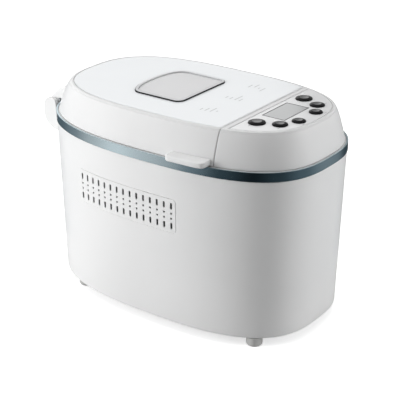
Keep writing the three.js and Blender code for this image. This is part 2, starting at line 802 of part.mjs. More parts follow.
/** The pan's wire bail, folded to the right. */
function panHandle() {
  const z = panRimZ + bailPivotRise;
  const [arm, tip] = [panHalfLength - 4, panHalfLength + 6];
  const points = [
    [ovenX - tip, 0, z], [ovenX - arm, 0, z], [ovenX - arm, bailReach, z], [ovenX + arm, bailReach, z],
    [ovenX + arm, 0, z], [ovenX + tip, 0, z],
  ];
  add('pan_handle', tube(roundedPath(points, [0, 4.5, 12, 12, 4.5, 0]), bailRadius, 40), steel);
}

/** A pan spindle with the wing coupling that the drive dogs turn. */
function panSpindle(index) {
  const x = spindles[index];
  const wingTop = panFloor - clearance - 3 - 1;
  const wingBottom = wingTop - 6.5;
  const top = panFloor + spindleRise;
  const shaft = post(spindleRadius, wingBottom, top, x, 0);
  const hub = post(5.5, wingBottom, wingTop, x, 0);
  const wing = box(x - 2, x + 2, -11, 11, wingBottom, wingTop - 1);
  add(`pan_spindle_${index + 1}`, joined(shaft, hub, wing), steel);
}

/** A kneading paddle: a hub over the spindle with one swept blade. */
function kneadingPaddle(index) {
  const x = spindles[index];
  const low = panFloor + panSheet + 2 * clearance + 4;
  const bore = spindleRadius + clearance;
  const boreTop = panFloor + spindleRise + clearance;
  const hub = lathe([[0, low], [9, low], [7.5, boreTop + 2.5], [0, boreTop + 2.5]], x);
  const tip = x + paddleReach;
  const crown = [x + paddleReach * 0.62, low + paddleHeight];
  const blade = new THREE.Shape();
  blade.moveTo(x, low);
  blade.lineTo(tip, low);
  blade.quadraticCurveTo(tip - 1, low + paddleHeight * 0.7, ...crown);
  blade.quadraticCurveTo(x + paddleReach * 0.3, low + paddleHeight * 0.95, x, low + paddleHeight * 0.6);
  const shaft = post(bore, low - 1, boreTop, x, 0);
  add(`kneading_paddle_${index + 1}`, cut(joined(hub, prismAlongY(blade, -2.5, 2.5)), shaft), nonStick);
}

// ---------------------------------------------------------------- drive

/** A drive shaft with a coupling head and two upright dogs. */
function driveShaft(index) {
  const x = spindles[index];
  const headLow = ovenFloor + sheet + 2.8;
  const headHigh = headLow + 3.2;
  const dogTop = headHigh + 7;
  const shaft = post(spindleRadius, lowerGrooveZ - 3, headLow + 1, x, 0);
  const head = post(12, headLow, headHigh, x, 0);
  const dogs = [
    box(x - 11, x - 6, -2.5, 2.5, headHigh - 1, dogTop),
    box(x + 6, x + 11, -2.5, 2.5, headHigh - 1, dogTop),
  ];
  add(`drive_shaft_${index + 1}`, joined(shaft, head, ...dogs), steel);
}

/** A flanged bearing between the drive frame and the oven's floor. */
function shaftBearing(index) {
  const low = frameZ + frameThickness + clearance;
  const bore = spindleRadius + clearance;
  const top = ovenFloor + sheet + 2;
  const profile = [
    [bore, low], [20, low], [20, low + 2.7], [9.5, low + 2.7], [9.5, top], [bore, top], [bore, low],
  ];
  add(`shaft_bearing_${index + 1}`, lathe(profile, spindles[index], 0), aluminium);
}

/** A pulley's profile from its bore out, with a groove above each listed height. */
function pulleyProfile(radius, bore, grooves) {
  const low = grooves[0] - pulleyFlange;
  const high = grooves[grooves.length - 1] + grooveHeight + pulleyFlange;
  const outside = grooves.flatMap((z) => [
    [radius, z], [radius - grooveDepth, z],
    [radius - grooveDepth, z + grooveHeight], [radius, z + grooveHeight],
  ]);
  return [[bore, low], [radius, low], ...outside, [radius, high], [bore, high], [bore, low]];
}

/** The two large pulleys; the first has a second groove for the motor's belt. */
function drivePulleys() {
  const bore = spindleRadius + clearance;
  const finish = { color: 0x3a3c3f, roughness: 0.5, metalness: 0 };
  [[lowerGrooveZ, upperGrooveZ], [upperGrooveZ]].forEach((grooves, i) => {
    const profile = pulleyProfile(pulleyRadius, bore, grooves);
    add(`drive_pulley_${i + 1}`, lathe(profile, spindles[i], 0, 24), finish);
  });
}

/** The motor's small pulley on its shaft. */
function motorPulley() {
  const low = lowerGrooveZ - pulleyFlange;
  const top = frameZ + frameThickness + 24;
  const groove = motorPulleyRadius - grooveDepth;
  const profile = [
    [0, low], [motorPulleyRadius, low], [motorPulleyRadius, lowerGrooveZ], [groove, lowerGrooveZ],
    [groove, lowerGrooveZ + grooveHeight], [motorPulleyRadius, lowerGrooveZ + grooveHeight],
    [motorPulleyRadius, lowerGrooveZ + grooveHeight + pulleyFlange],
    [motorShaftRadius, lowerGrooveZ + grooveHeight + pulleyFlange], [motorShaftRadius, top], [0, top],
  ];
  add('motor_pulley', lathe(profile, motorX, 0), steel);
}

/** The outline of a belt around two pulleys on the X axis; the first is the larger or equal one. */
function beltOutline(largeX, largeRadius, smallX, smallRadius, type = THREE.Shape) {
  const away = Math.sign(smallX - largeX);
  const angle = Math.acos((largeRadius - smallRadius) / Math.abs(smallX - largeX));
  const shape = new type();
  const start = away > 0 ? angle : Math.PI + angle;
  const turn = 2 * Math.PI - 2 * angle;
  shape.absarc(largeX, 0, largeRadius, start, start + turn, false);
  shape.absarc(smallX, 0, smallRadius, start + turn, start + 2 * Math.PI, false);
  return shape;
}

/** A belt around two pulley grooves. */
function belt(name, largeX, largeRadius, smallX, smallRadius, grooveZ) {
  const z = grooveZ + (grooveHeight - beltHeight) / 2;
  const seat = clearance - grooveDepth;
  const [inLarge, inSmall] = [largeRadius + seat, smallRadius + seat];
  const outline = beltOutline(largeX, inLarge + beltThickness, smallX, inSmall + beltThickness);
  outline.holes.push(beltOutline(largeX, inLarge, smallX, inSmall, THREE.Path));
  const finish = { color: 0x1b1b1c, roughness: 0.8, metalness: 0 };
  add(name, prism(outline, z, z + beltHeight, 10), finish);
}

/** The sheet frame that carries the motor, the bearings and the power board. */
function driveFrame() {
  const [x0, x1] = [spindles[1] - pulleyRadius - 8, motorX + motorRadius + 2];
  const [low, high] = [frameZ, frameZ + frameThickness];
  const floor = basePlateLift + basePlateThickness + clearance;
  const leg = frameThickness;
  const pieces = [
    box(x0, x1, -frameHalfWidth, frameHalfWidth, low, high),
    box(x0, x0 + leg, -30, 30, floor, low + 1),
    box(x1 - leg, x1, -30, 30, floor, low + 1),
    box(motorX - 36, motorX + 20, frameHalfWidth - 1.5, frameHalfWidth, low, high + 25),
  ];
  const holes = [...spindles, motorX].map((x) => post(7, low - 5, high + 5, x, 0));
  add('drive_frame', cut(joined(...pieces), ...holes), steel);
}

/** The motor's can, with a blind bore for its shaft. */
function motor() {
  const low = frameZ + frameThickness + clearance;
  const bore = motorShaftRadius + clearance;
  const boreTop = frameZ + frameThickness + 25;
  const [high, bell] = [low + motorHeight, 3];
  const profile = [
    [0, boreTop], [bore, boreTop], [bore, low], [motorRadius - bell, low], [motorRadius - bell, low + 12],
    [motorRadius, low + 12], [motorRadius, high - 12], [motorRadius - bell, high - 12],
    [motorRadius - bell, high - 2], [9, high - 2], [9, high + 3], [0, high + 3],
  ];
  add('motor', lathe(profile, motorX, 0), { color: 0x777b7e, roughness: 0.4, metalness: 1 });
}

/** The power board, upright beside the motor, with its transformer, relay and capacitors. */
function powerBoard() {
  const y = frameHalfWidth + clearance;
  const face = y + boardThickness;
  const [x0, x1] = [motorX - 38, motorX + 20];
  const low = frameZ + frameThickness + 3;
  const capacitor = (x, z) => alongY(rod(6, face - 0.5, face + 16), x, z);
  const pieces = [
    box(x0, x1, y, face, low, low + 88),
    box(x0 + 4, x0 + 38, face - 0.5, face + 24, low + 6, low + 36),
    box(x0 + 6, x0 + 24, face - 0.5, face + 14, low + 46, low + 62),
    capacitor(x0 + 36, low + 54),
    capacitor(x0 + 50, low + 54),
  ];
  add('power_board', joined(...pieces), { color: 0x2f6b46, roughness: 0.5, metalness: 0 });
}

// ---------------------------------------------------------------- control head

/** The hole for one button, through the overlay and the head's top. */
function buttonHole(button) {
  return post(button.radius + 0.4, headCeiling - 5, headTop + 5, button.x, button.y);
}

/** The rectangle of the display, grown by a margin. */
function displayBox(grow, z0, z1) {
  const [half, side] = [lcdLength / 2 + grow, lcdWidth / 2 + grow];
  return box(lcdX - half, lcdX + half, -side, side, z0, z1);
}

/** The fixed control head, hollow and open below, with posts for the control board. */
function controlHead() {
  const outer = solid(headSolid()).intersect(solid(slab(headEndX, bodyLength)));
  const hollow = solid(headHollow()).intersect(solid(slab(headEndX + wall, bodyLength)));
  const recess = solid(topPlate(rim, recessFloor, headTop + 5))
    .intersect(solid(slab(overlayEdgeX - clearance, bodyLength)));
  const posts = [[112, -38], [112, 38], [166, 0]].map(([x, y]) => (
    post(3.5, controlBoardTop + clearance, headCeiling + 1, x, y, hiddenSides)
  ));
  const shell = posts.reduce((whole, piece) => whole.add(solid(piece)), outer.subtract(hollow));
  const openings = [displayBox(-2, headCeiling - 5, headTop + 5), ...buttons.map(buttonHole)];
  add('control_head', cut(shell.subtract(recess), ...openings), white);
}

/** The inset control panel with its display opening and button holes. */
function controlOverlay() {
  const z = recessFloor + clearance;
  const plate = solid(topPlate(rim + clearance, z, z + panelThickness))
    .intersect(solid(slab(overlayEdgeX, bodyLength)));
  const openings = [displayBox(0, z - 5, z + 5), ...buttons.map(buttonHole)];
  add('control_overlay', cut(plate, ...openings), { color: 0xdcdee0, roughness: 0.35, metalness: 0.3 });
}

/** The display: a clear lens flush with the panel and the module behind it. */
function display() {
  const z = recessFloor + clearance;
  const lens = displayBox(-clearance, z, z + panelThickness);
  add('lcd_lens', lens, { color: 0xb4b8ba, roughness: 0.15, metalness: 0 });
  const module = displayBox(2.5, controlBoardTop + clearance, headCeiling - clearance);
  add('lcd_module', module, { color: 0x9aa09c, roughness: 0.4, metalness: 0 });
}

/** The control board under the panel, with one small switch under each button. */
function controlBoard() {
  const low = controlBoardTop - boardThickness;
  const outline = polygon([
    [108, -57], [136, -57], [160, -40], [171, -12], [171, 12], [160, 40], [136, 57], [108, 57],
  ]);
  const half = 3;
  const switches = buttons.map(({ x, y }) => (
    box(x - half, x + half, y - half, y + half, low + 0.5, controlBoardTop + switchHeight)
  ));
  const board = joined(prism(outline, low, controlBoardTop), ...switches);
  add('control_board', board, { color: 0x2f6b46, roughness: 0.5, metalness: 0 });
}

/** One round push button: flat top, sloped skirt, retaining flange and stem. */
function pushButton({ name, x, y, radius }) {
  const flangeTop = headCeiling - runningGap;
  const stemBottom = controlBoardTop + switchHeight + buttonTravel + clearance;
  const top = headTop + buttonStandOut;
  const profile = [
    [0, stemBottom], [2.5, stemBottom], [2.5, flangeTop - 1.2], [radius + 1.2, flangeTop - 1.2],
    [radius + 1.2, flangeTop], [radius, flangeTop], [radius, headTop + 1.1], [radius * 0.64, top],
    [0, top],
  ];
  add(name, lathe(profile, x, y), darkPlastic);
}

// ---------------------------------------------------------------- lid

/** The window's outline in plan, grown by a margin: straight at the front and bowed at the rear. */
function windowOutline(grow, type = THREE.Shape) {
  const [front, rear] = [windowFront + grow, windowRear - grow];
  const side = windowWidth / 2 + grow;
  const r = windowCorner + grow;
  const [start, lead] = [20.5, 5.5];
  const swell = 0.57 * side;
  const shape = new type();
  shape.moveTo(front, r - side);
  shape.lineTo(front, side - r);
  shape.absarc(front - r, side - r, r, 0, Math.PI / 2, false);
  shape.lineTo(rear + start, side);
  shape.bezierCurveTo(rear + lead, side, rear, swell, rear, 0);
  shape.bezierCurveTo(rear, -swell, rear + lead, -side, rear + start, -side);
  shape.lineTo(front - r, -side);
  shape.absarc(front - r, r - side, r, -Math.PI / 2, 0, false);
  return shape;
}

/** A flat ring that follows the window's outline between two margins. */
function windowRing(outer, inner, z0, z1) {
  const shape = windowOutline(outer);
  shape.holes.push(windowOutline(inner, THREE.Path));
  return prism(shape, z0, z1);
}

/** Where the lid's stakes hold the liner. */
function stakePlaces() {
  const y = ovenHalfWidth + 10;
  return [[ovenX - 60, -y], [ovenX - 60, y], [ovenX + 60, -y], [ovenX + 60, y]];
}

/** The lid's moulded shell, hollow and open below, with staked posts that hold the liner. */
function lidShell() {
  const outer = solid(headSolid()).intersect(solid(slab(-bodyLength, lidEndX)));
  const hollow = solid(headHollow()).intersect(solid(slab(-bodyLength, lidEndX - wall)));
  const recess = solid(topPlate(rim, recessFloor, headTop + 5))
    .intersect(solid(slab(-bodyLength, lidEndX - wall + 1)));
  const low = linerFlangeZ + sheet + clearance;
  const stakeLow = linerFlangeZ - clearance - 1.2;
  const profile = [
    [0, stakeLow], [2.6, stakeLow], [2.6, stakeLow + 1.2], [1.4, stakeLow + 1.2], [1.4, low], [3.5, low],
    [3.5, headCeiling + 1], [0, headCeiling + 1],
  ];
  const posts = stakePlaces().map(([x, y]) => lathe(profile, x, y, hiddenSides));
  const shell = posts.reduce((whole, piece) => whole.add(solid(piece)), outer.subtract(hollow));
  const window = prism(windowOutline(clearance), headCeiling - 5, headTop + 5);
  add('lid_shell', cut(shell.subtract(recess), window), white);
}

/** The inset panel on the lid, around the window. */
function lidTopPanel() {
  const z = recessFloor + clearance;
  const plate = solid(topPlate(rim + clearance, z, z + panelThickness))
    .intersect(solid(slab(-bodyLength, lidEndX - wall + 1 - clearance)));
  const window = prism(windowOutline(clearance), z - 5, z + 5);
  add('lid_top_panel', cut(plate, window), { color: 0xe4ebf0, roughness: 0.3, metalness: 0.25 });
}

/** The window's seal: a collar through the lid's top with a ledge for the glass. */
function windowGasket() {
  const ledgeTop = headTop + gasketStandOut - 0.6 - glassThickness - clearance;
  const flangeTop = headCeiling - clearance;
  const collar = windowRing(0, -gasketWidth, flangeTop - 1.5, headTop + gasketStandOut);
  const ledge = windowRing(-gasketWidth + 0.5, -gasketWidth - 2, flangeTop - 1.5, ledgeTop);
  const flange = windowRing(3, -gasketWidth + 0.5, flangeTop - 1.5, flangeTop);
  add('window_gasket', joined(collar, ledge, flange), { color: 0x25272a, roughness: 0.25, metalness: 0 });
}

/** The outer window glass, resting on the seal's ledge. */
function windowGlass() {
  const top = headTop + gasketStandOut - 0.6;
  const outline = windowOutline(-gasketWidth - clearance);
  add('window_glass', prism(outline, top - glassThickness, top), clearGlass);
}

/** A plate about the window's middle, between two heights. */
function innerPane(grow, z0, z1) {
  const [half, side] = [innerGlassHalfLength + grow, innerGlassHalfWidth + grow];
  const middle = windowMiddleX;
  return prism(roundedShape(middle - half, middle + half, -side, side, 8 + grow), z0, z1, 2);
}

/** The inner glass and its seal, on the liner's roof. */
function innerGlass() {
  const sealLow = linerRoofZ + sheet + clearance;
  const ledge = 1;
  const glassLow = sealLow + ledge + clearance;
  const seal = cut(
    solid(innerPane(3, sealLow, glassLow + glassThickness)),
    innerPane(clearance, sealLow + ledge, glassLow + 10),
    innerPane(-3, sealLow - 5, glassLow + 10),
  );
  add('inner_glass_seal', seal, { color: 0x9b4b33, roughness: 0.7, metalness: 0 });
  const glass = innerPane(0, glassLow, glassLow + glassThickness);
  add('inner_glass', glass, clearGlass);
}

/** The lid's inner metal liner: a raised tray over the oven with a flange all round. */
function lidLiner() {
  const flangeRing = (z) => headRing(z, wall + 0.5);
  const flange = solid(loft([flangeRing(linerFlangeZ), flangeRing(linerFlangeZ + sheet)]))
    .intersect(solid(slab(-bodyLength, lidEndX - wall - 0.5)));
  const tray = (grow, z0, z1) => loft([z0, z1].map((z) => roundRing(
    ovenX, ovenHalfLength + grow, ovenHalfWidth + grow, ovenCorner + grow, z,
  )));
  const raised = flange.add(solid(tray(sheet, linerFlangeZ, linerRoofZ + sheet)));
  const holes = stakePlaces().map(([x, y]) => (
    post(1.7, linerFlangeZ - 2, linerFlangeZ + 3, x, y, hiddenSides)
  ));
  const opening = innerPane(-4, linerRoofZ - 2, linerRoofZ + 4);
  add('lid_liner', cut(raised, tray(0, linerFlangeZ - 2, linerRoofZ), opening, ...holes), aluminium);
}

/** A lift tab on one long side of the lid; side is -1 or 1. */
function liftTab(side) {
  const [first, last] = [tabFirstX, tabLastX];
  const round = 6;
  const outline = new THREE.Shape();
  outline.moveTo(first, side * 90);
  outline.lineTo(first, side * (tabReach - round));
  outline.quadraticCurveTo(first, side * tabReach, first + round, side * tabReach);
  outline.lineTo(last - 2 * round, side * (tabReach - 2.5));
  outline.quadraticCurveTo(last, side * (tabReach - 4), last, side * (tabReach - round - 4));
  outline.lineTo(last, side * 90);
  const z = headBottom + 0.2;
  const bar = solid(prism(outline, z, z + tabHeight));
  const shaped = bar.subtract(solid(headSolid(-clearance)));
  add(side < 0 ? 'lift_tab_left' : 'lift_tab_right', shaped, white);
}

// ---------------------------------------------------------------- hinge

/** The outline of a hinge cheek in X and Z. */
function cheekOutline() {
  const inside = hingeX + barrelRadius;
  const into = 1 - hingeReach + 36;
  const shape = new THREE.Shape();
  shape.moveTo(inside, hingeZ - 15.7);
  shape.lineTo(inside, hingeZ + 3);
  shape.quadraticCurveTo(inside, hingeZ + 11.8, hingeX, hingeZ + 11.9);
  shape.quadraticCurveTo(0.5 - hingeReach, hingeZ + 12, 0.5 - hingeReach, hingeZ - 1);
  shape.lineTo(-hingeReach, hingeZ - 9);
  shape.quadraticCurveTo(-hingeReach, hingeZ - 17.5, 5.5 - hingeReach, hingeZ - 22.8);
  shape.quadraticCurveTo(11 - hingeReach, hingeZ - 29, 21 - hingeReach, hingeZ - 30.3);
  shape.lineTo(into, hingeZ - 31);
  shape.lineTo(into, hingeZ - 15.7);
  return shape;
}

/** The fixed hinge bracket: two cheeks and a saddle between them, fitted to the body's rear end. */
function hingeBracket() {
  const half = hingeWidth / 2;
  const cheeks = [
    prismAlongY(cheekOutline(), -half, cheekThickness - half, 6),
    prismAlongY(cheekOutline(), half - cheekThickness, half, 6),
  ];
  const saddle = polygon([
    [hingeX + 25, hingeZ - 30.2], [hingeX + 25, hingeZ - 17.5], [hingeX + 10, hingeZ - 17.5],
    [hingeX + 6, hingeZ - 19.5], [hingeX - 5, hingeZ - 20.5], [hingeX - 6, hingeZ - 23],
    [hingeX - 1, hingeZ - 27], [hingeX + 9, hingeZ - 29.8],
  ]);
  const body = joined(...cheeks, prismAlongY(saddle, -half + 1, half - 1));
  const heights = [hingeZ - 60, bodyHeight];
  const wallSolid = loft(heights.map((z) => bodyRing(z, -clearance)));
  const hole = pinHole();
  add('hinge_bracket', cut(body, wallSolid, hole), white);
}

/** The bore for the hinge pin, right across the hinge. */
function pinHole() {
  const r = hingePinRadius + clearance;
  return alongY(rod(r, -hingeWidth, hingeWidth), hingeX, hingeZ);
}

/** The steel hinge pin. */
function hingePin() {
  const half = hingeWidth / 2 - 0.5;
  add('hinge_pin', alongY(rod(hingePinRadius, -half, half), hingeX, hingeZ), steel);
}

/** The lid's hinge arm: a barrel on the pin and a hood up to the lid's rear wall. */
function lidHingeArm() {
  const half = hingeWidth / 2 - cheekThickness - hingeSideGap;
  const r = barrelRadius;
  const inner = hingeX + r;
  const shape = new THREE.Shape();
  shape.absarc(hingeX, hingeZ, r, Math.PI, Math.PI * 2, false);
  shape.lineTo(inner, headBottom + 0.4);
  shape.lineTo(hingeX + 26, headBottom + 0.4);
  shape.lineTo(hingeX + 26, hingeZ + 31.5);
  shape.quadraticCurveTo(hingeX + 9, hingeZ + 28, hingeX, hingeZ + 16.5);
  shape.quadraticCurveTo(hingeX - r, hingeZ + 10, hingeX - r, hingeZ);
  const arm = solid(prismAlongY(shape, -half, half, 10));
  add('lid_hinge_arm', cut(arm.subtract(solid(headSolid(-clearance))), pinHole()), white);
}

// ---------------------------------------------------------------- the whole machine

outerBody();
ventGrille(-1);
ventGrille(1);
cordGland();
basePlate();
feet();
trimBand();
topDeck();
ovenCavity();
heatingElement();
terminalBlock();
temperatureProbe();
panClip();
heatShield();
breadPan();
panHandle();
[0, 1].forEach(panBush);
[0, 1].forEach(panSpindle);
[0, 1].forEach(kneadingPaddle);
[0, 1].forEach(driveShaft);
[0, 1].forEach(shaftBearing);
drivePulleys();
motorPulley();
belt('motor_belt', spindles[0], pulleyRadius, motorX, motorPulleyRadius, lowerGrooveZ);
belt('transfer_belt', spindles[0], pulleyRadius, spindles[1], pulleyRadius, upperGrooveZ);
driveFrame();
motor();
powerBoard();
controlHead();
controlOverlay();
display();
controlBoard();
buttons.forEach(pushButton);
lidShell();
lidTopPanel();
windowGasket();
windowGlass();
innerGlass();
lidLiner();
liftTab(-1);
liftTab(1);
hingeBracket();
hingePin();
lidHingeArm();

export default machine;
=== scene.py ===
"""Looks of a long-loaf bread machine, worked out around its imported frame.

Lengths in the classes are millimetres about the body: x runs from the hinge to the controls, z is
the height over the body's bottom edge, and y = 0 is the middle plane. Workshop.place turns them into
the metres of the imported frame, whose floor is under the feet.
"""

from __future__ import annotations

import json
import logging
import math
import sys
from dataclasses import dataclass, field
from enum import Enum
from typing import Iterable, Sequence

import bmesh
import bpy
import numpy as np
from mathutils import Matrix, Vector

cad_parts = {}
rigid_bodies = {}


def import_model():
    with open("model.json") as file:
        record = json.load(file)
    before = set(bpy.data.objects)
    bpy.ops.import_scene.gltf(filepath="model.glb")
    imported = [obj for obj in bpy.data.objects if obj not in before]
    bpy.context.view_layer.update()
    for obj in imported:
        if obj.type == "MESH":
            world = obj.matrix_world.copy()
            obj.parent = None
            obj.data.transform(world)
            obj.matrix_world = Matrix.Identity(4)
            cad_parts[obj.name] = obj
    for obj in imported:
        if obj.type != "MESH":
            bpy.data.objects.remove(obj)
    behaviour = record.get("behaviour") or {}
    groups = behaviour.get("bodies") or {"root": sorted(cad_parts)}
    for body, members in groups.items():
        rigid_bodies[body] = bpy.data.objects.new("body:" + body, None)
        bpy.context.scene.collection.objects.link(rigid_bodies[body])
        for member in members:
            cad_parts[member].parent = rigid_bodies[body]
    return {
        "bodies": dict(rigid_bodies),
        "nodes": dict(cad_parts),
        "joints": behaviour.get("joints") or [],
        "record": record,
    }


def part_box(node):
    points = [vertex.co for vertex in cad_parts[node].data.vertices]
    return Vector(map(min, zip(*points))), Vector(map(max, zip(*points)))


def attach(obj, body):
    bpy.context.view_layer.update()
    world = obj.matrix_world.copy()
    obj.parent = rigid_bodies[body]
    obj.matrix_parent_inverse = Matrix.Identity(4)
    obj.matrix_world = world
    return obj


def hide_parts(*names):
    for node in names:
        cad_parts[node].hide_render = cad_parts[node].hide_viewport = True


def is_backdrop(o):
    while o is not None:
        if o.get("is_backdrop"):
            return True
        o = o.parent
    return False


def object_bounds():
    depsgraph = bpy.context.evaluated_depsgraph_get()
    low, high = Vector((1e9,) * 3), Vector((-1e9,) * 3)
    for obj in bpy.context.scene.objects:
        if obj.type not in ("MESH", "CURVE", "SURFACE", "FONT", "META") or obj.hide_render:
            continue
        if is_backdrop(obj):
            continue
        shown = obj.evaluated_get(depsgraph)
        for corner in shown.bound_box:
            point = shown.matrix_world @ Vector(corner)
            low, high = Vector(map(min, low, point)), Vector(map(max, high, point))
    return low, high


LOG = logging.getLogger("bread_machine")
MM = 0.001
Points = np.ndarray
Patch = tuple[np.ndarray, np.ndarray]


# ------------------------------------------------------------------ curves and surfaces


class End(Enum):
    """Which end of the machine a loop across the lid seam keeps."""

    REAR = -1
    FRONT = 1


def resampled(points: Points, count: int, closed: bool = True, trim: float = 0.0) -> Points:
    """Points spaced evenly along a polyline, by interpolating over its running length.

    Args:
        points: the polyline, one row a point.
        count: how many points come back.
        closed: whether the last point joins the first.
        trim: the length left out at each end of an open line.

    Returns:
        An array of count points.
    """
    path = np.vstack([points, points[:1]]) if closed else points
    run = np.concatenate([[0.0], np.cumsum(np.linalg.norm(np.diff(path, axis=0), axis=1))])
    if closed:
        at = np.linspace(0.0, run[-1], count + 1)[:-1]
    else:
        at = np.linspace(trim, run[-1] - trim, count)
    return np.stack([np.interp(at, run, path[:, k]) for k in range(path.shape[1])], axis=1)


def blended(before: Points, corner: Points, after: Points, steps: int) -> Points:
    """A parabola from before to after with its control point at corner: (1-t)^2 A + 2t(1-t) B + t^2 C."""
    t = np.linspace(0.0, 1.0, steps)[:, None]
    return (1 - t) ** 2 * before + 2 * t * (1 - t) * corner + t**2 * after


def rounded(points: Sequence[Sequence[float]], reach: float | Sequence[float], steps: int = 5,
            closed: bool = False) -> Points:
    """A polyline whose corners are parabolas that start and end at a distance from the corner.

    Args:
        points: the corner points, in two or three dimensions.
        reach: that distance, one for all corners or one a corner; it is held to 0.49 of each side.
        steps: points on each corner.
        closed: whether the last point joins the first.

    Returns:
        The rounded polyline.
    """
    at = np.asarray(points, float)
    ahead, behind = np.roll(at, -1, 0) - at, np.roll(at, 1, 0) - at
    limit = 0.49 * np.minimum(np.linalg.norm(ahead, axis=1), np.linalg.norm(behind, axis=1))
    size = np.minimum(np.broadcast_to(np.asarray(reach, float), (len(at),)), limit)
    if not closed:
        size = size.copy()
        size[[0, -1]] = 0.0
    unit = lambda v: v / np.maximum(np.linalg.norm(v, axis=1, keepdims=True), 1e-9)
    start = at + unit(behind) * size[:, None]
    stop = at + unit(ahead) * size[:, None]
    t = np.linspace(0.0, 1.0, steps)[None, :, None]
    curve = (1 - t) ** 2 * start[:, None] + 2 * t * (1 - t) * at[:, None] + t**2 * stop[:, None]
    flat = curve.reshape(-1, at.shape[1])
    keep = np.concatenate([[True], np.linalg.norm(np.diff(flat, axis=0), axis=1) > 1e-6])
    return flat[keep]


def raised(loop: Points, z: float) -> Points:
    """A flat loop of x and y lifted to one height."""
    return np.column_stack([loop[:, :2], np.full(len(loop), float(z))])


def grid(rows: Points, wrap_rows: bool = False, wrap_columns: bool = True) -> Patch:
    """The quads between neighbouring points of a grid.

    Args:
        rows: points of shape (rows, columns, 3).
        wrap_rows: whether the last row joins the first.
        wrap_columns: whether the last column joins the first.

    Returns:
        The points as a list and the quads that index them.
    """
    high, wide = rows.shape[:2]
    r, c = np.meshgrid(np.arange(high if wrap_rows else high - 1),
                       np.arange(wide if wrap_columns else wide - 1), indexing="ij")
    r2, c2 = (r + 1) % high, (c + 1) % wide
    quads = np.stack([r * wide + c, r * wide + c2, r2 * wide + c2, r2 * wide + c], axis=-1)
    return rows.reshape(-1, 3), quads.reshape(-1, 4)


def stacked(loops: Iterable[Points], closed: bool = False, poles: tuple[bool, bool] = (True, True)) -> Patch:
    """A skin over loops of equal length.

    Args:
        loops: the loops in order, each (n, 3).
        closed: joins the last loop to the first, as a bent tube.
        poles: whether an open skin's first and last loops are closed by a pole at their middle.

    Returns:
        The skin as points and quads; a pole's points coincide and are merged later.
    """
    rows = list(loops)
    if not closed:
        if poles[0]:
            rows.insert(0, np.broadcast_to(rows[0].mean(0), rows[0].shape))
        if poles[1]:
            rows.append(np.broadcast_to(rows[-1].mean(0), rows[-1].shape))
    return grid(np.stack(rows), wrap_rows=closed)


def turned(profile: Points, centre: Sequence[float], axis: str = "z", sides: int = 48,
           closed: bool = False) -> Patch:
    """A profile of radius and height carried round an axis.

    Args:
        profile: rows of radius and height along the axis.
        centre: the point that height 0 of the axis passes through.
        axis: x, y or z.
        sides: points round the axis.
        closed: whether the profile closes on itself, as a ring's does.

    Returns:
        The surface of revolution.
    """
    angle = np.linspace(0, 2 * np.pi, sides, endpoint=False)
    radius, height = profile[:, :1], profile[:, 1:2]
    a, b = radius * np.cos(angle), radius * np.sin(angle)
    h = np.broadcast_to(height, a.shape)
    order = {"z": (a, b, h), "x": (h, a, b), "y": (b, h, a)}[axis]
    return grid(np.stack(order, axis=-1) + np.asarray(centre, float), wrap_rows=closed)


def swept(path: Points, normal: Sequence[float], radius: float, sides: int = 20) -> Patch:
    """A round bar along a flat path: circles across its tangent, with domed ends.

    Args:
        path: the centre line, in one plane.
        normal: that plane's normal.
        radius: the bar's radius.
        sides: points round the bar.

    Returns:
        The bar's closed skin.
    """
    dome = np.linspace(0, np.pi / 2, 5)[1:]
    first, last = path[0] - path[1], path[-1] - path[-2]
    first, last = first / np.linalg.norm(first), last / np.linalg.norm(last)
    soft = 0.5 * radius
    head = path[0] - first * (soft * (1 - np.sin(dome)))[:, None]
    tail = path[-1] - last * (soft * (1 - np.sin(dome[::-1])))[:, None]
    line = np.vstack([head, path[1:-1], tail])
    size = np.concatenate([radius * (1 - 0.5 * np.cos(dome)), np.full(len(path) - 2, radius),
                           radius * (1 - 0.5 * np.cos(dome[::-1]))])
    along = np.gradient(line, axis=0)
    along[:4], along[-4:] = -first, last
    along /= np.linalg.norm(along, axis=1, keepdims=True)
    up = np.asarray(normal, float)
    side = np.cross(along, up)
    angle = np.linspace(0, 2 * np.pi, sides, endpoint=False)
    ring = np.cos(angle)[None, :, None] * side[:, None] + np.sin(angle)[None, :, None] * up
    return stacked(line[:, None] + size[:, None, None] * ring)


def tray_loop(x: float, half_length: float, half_width: float, corner: float, z: float,
              quarter: int = 14) -> Points:
    """A rounded rectangle about (x, 0): four quarter circles, joined by the straight sides.

    Args:
        x: where its middle stands along X.
        half_length: half its size along X.
        half_width: half its size along Y.
        corner: the corner radius.
        z: the height.
        quarter: points in each corner.

    Returns:
        The loop.
    """
    angle = np.linspace(0, np.pi / 2, quarter)[None, :] + np.arange(4)[:, None] * np.pi / 2
    sx, sy = np.array([[1], [-1], [-1], [1]]), np.array([[1], [1], [-1], [-1]])
    px = x + sx * (half_length - corner) + corner * np.cos(angle)
    py = sy * (half_width - corner) + corner * np.sin(angle)
    return raised(np.stack([px.ravel(), py.ravel()], axis=1), z)


def seen_from(centre: Points, outer: Points, fine: Points, z: float) -> Points:
    """A closed line's points in the directions that an outer loop has from a centre.

    Args:
        centre: where they are seen from.
        outer: the loop whose directions are used.
        fine: the line to meet, with many points.
        z: the height.

    Returns:
        The loop, point for point with the outer one.
    """
    arm = fine - centre
    turn = np.arctan2(arm[:, 1], arm[:, 0]) % (2 * np.pi)
    order = np.argsort(turn)
    look = np.arctan2(outer[:, 1] - centre[1], outer[:, 0] - centre[0]) % (2 * np.pi)
    reach = np.interp(look, turn[order], np.linalg.norm(arm, axis=1)[order], period=2 * np.pi)
    return raised(centre + np.stack([np.cos(look), np.sin(look)], axis=1) * reach[:, None], z)


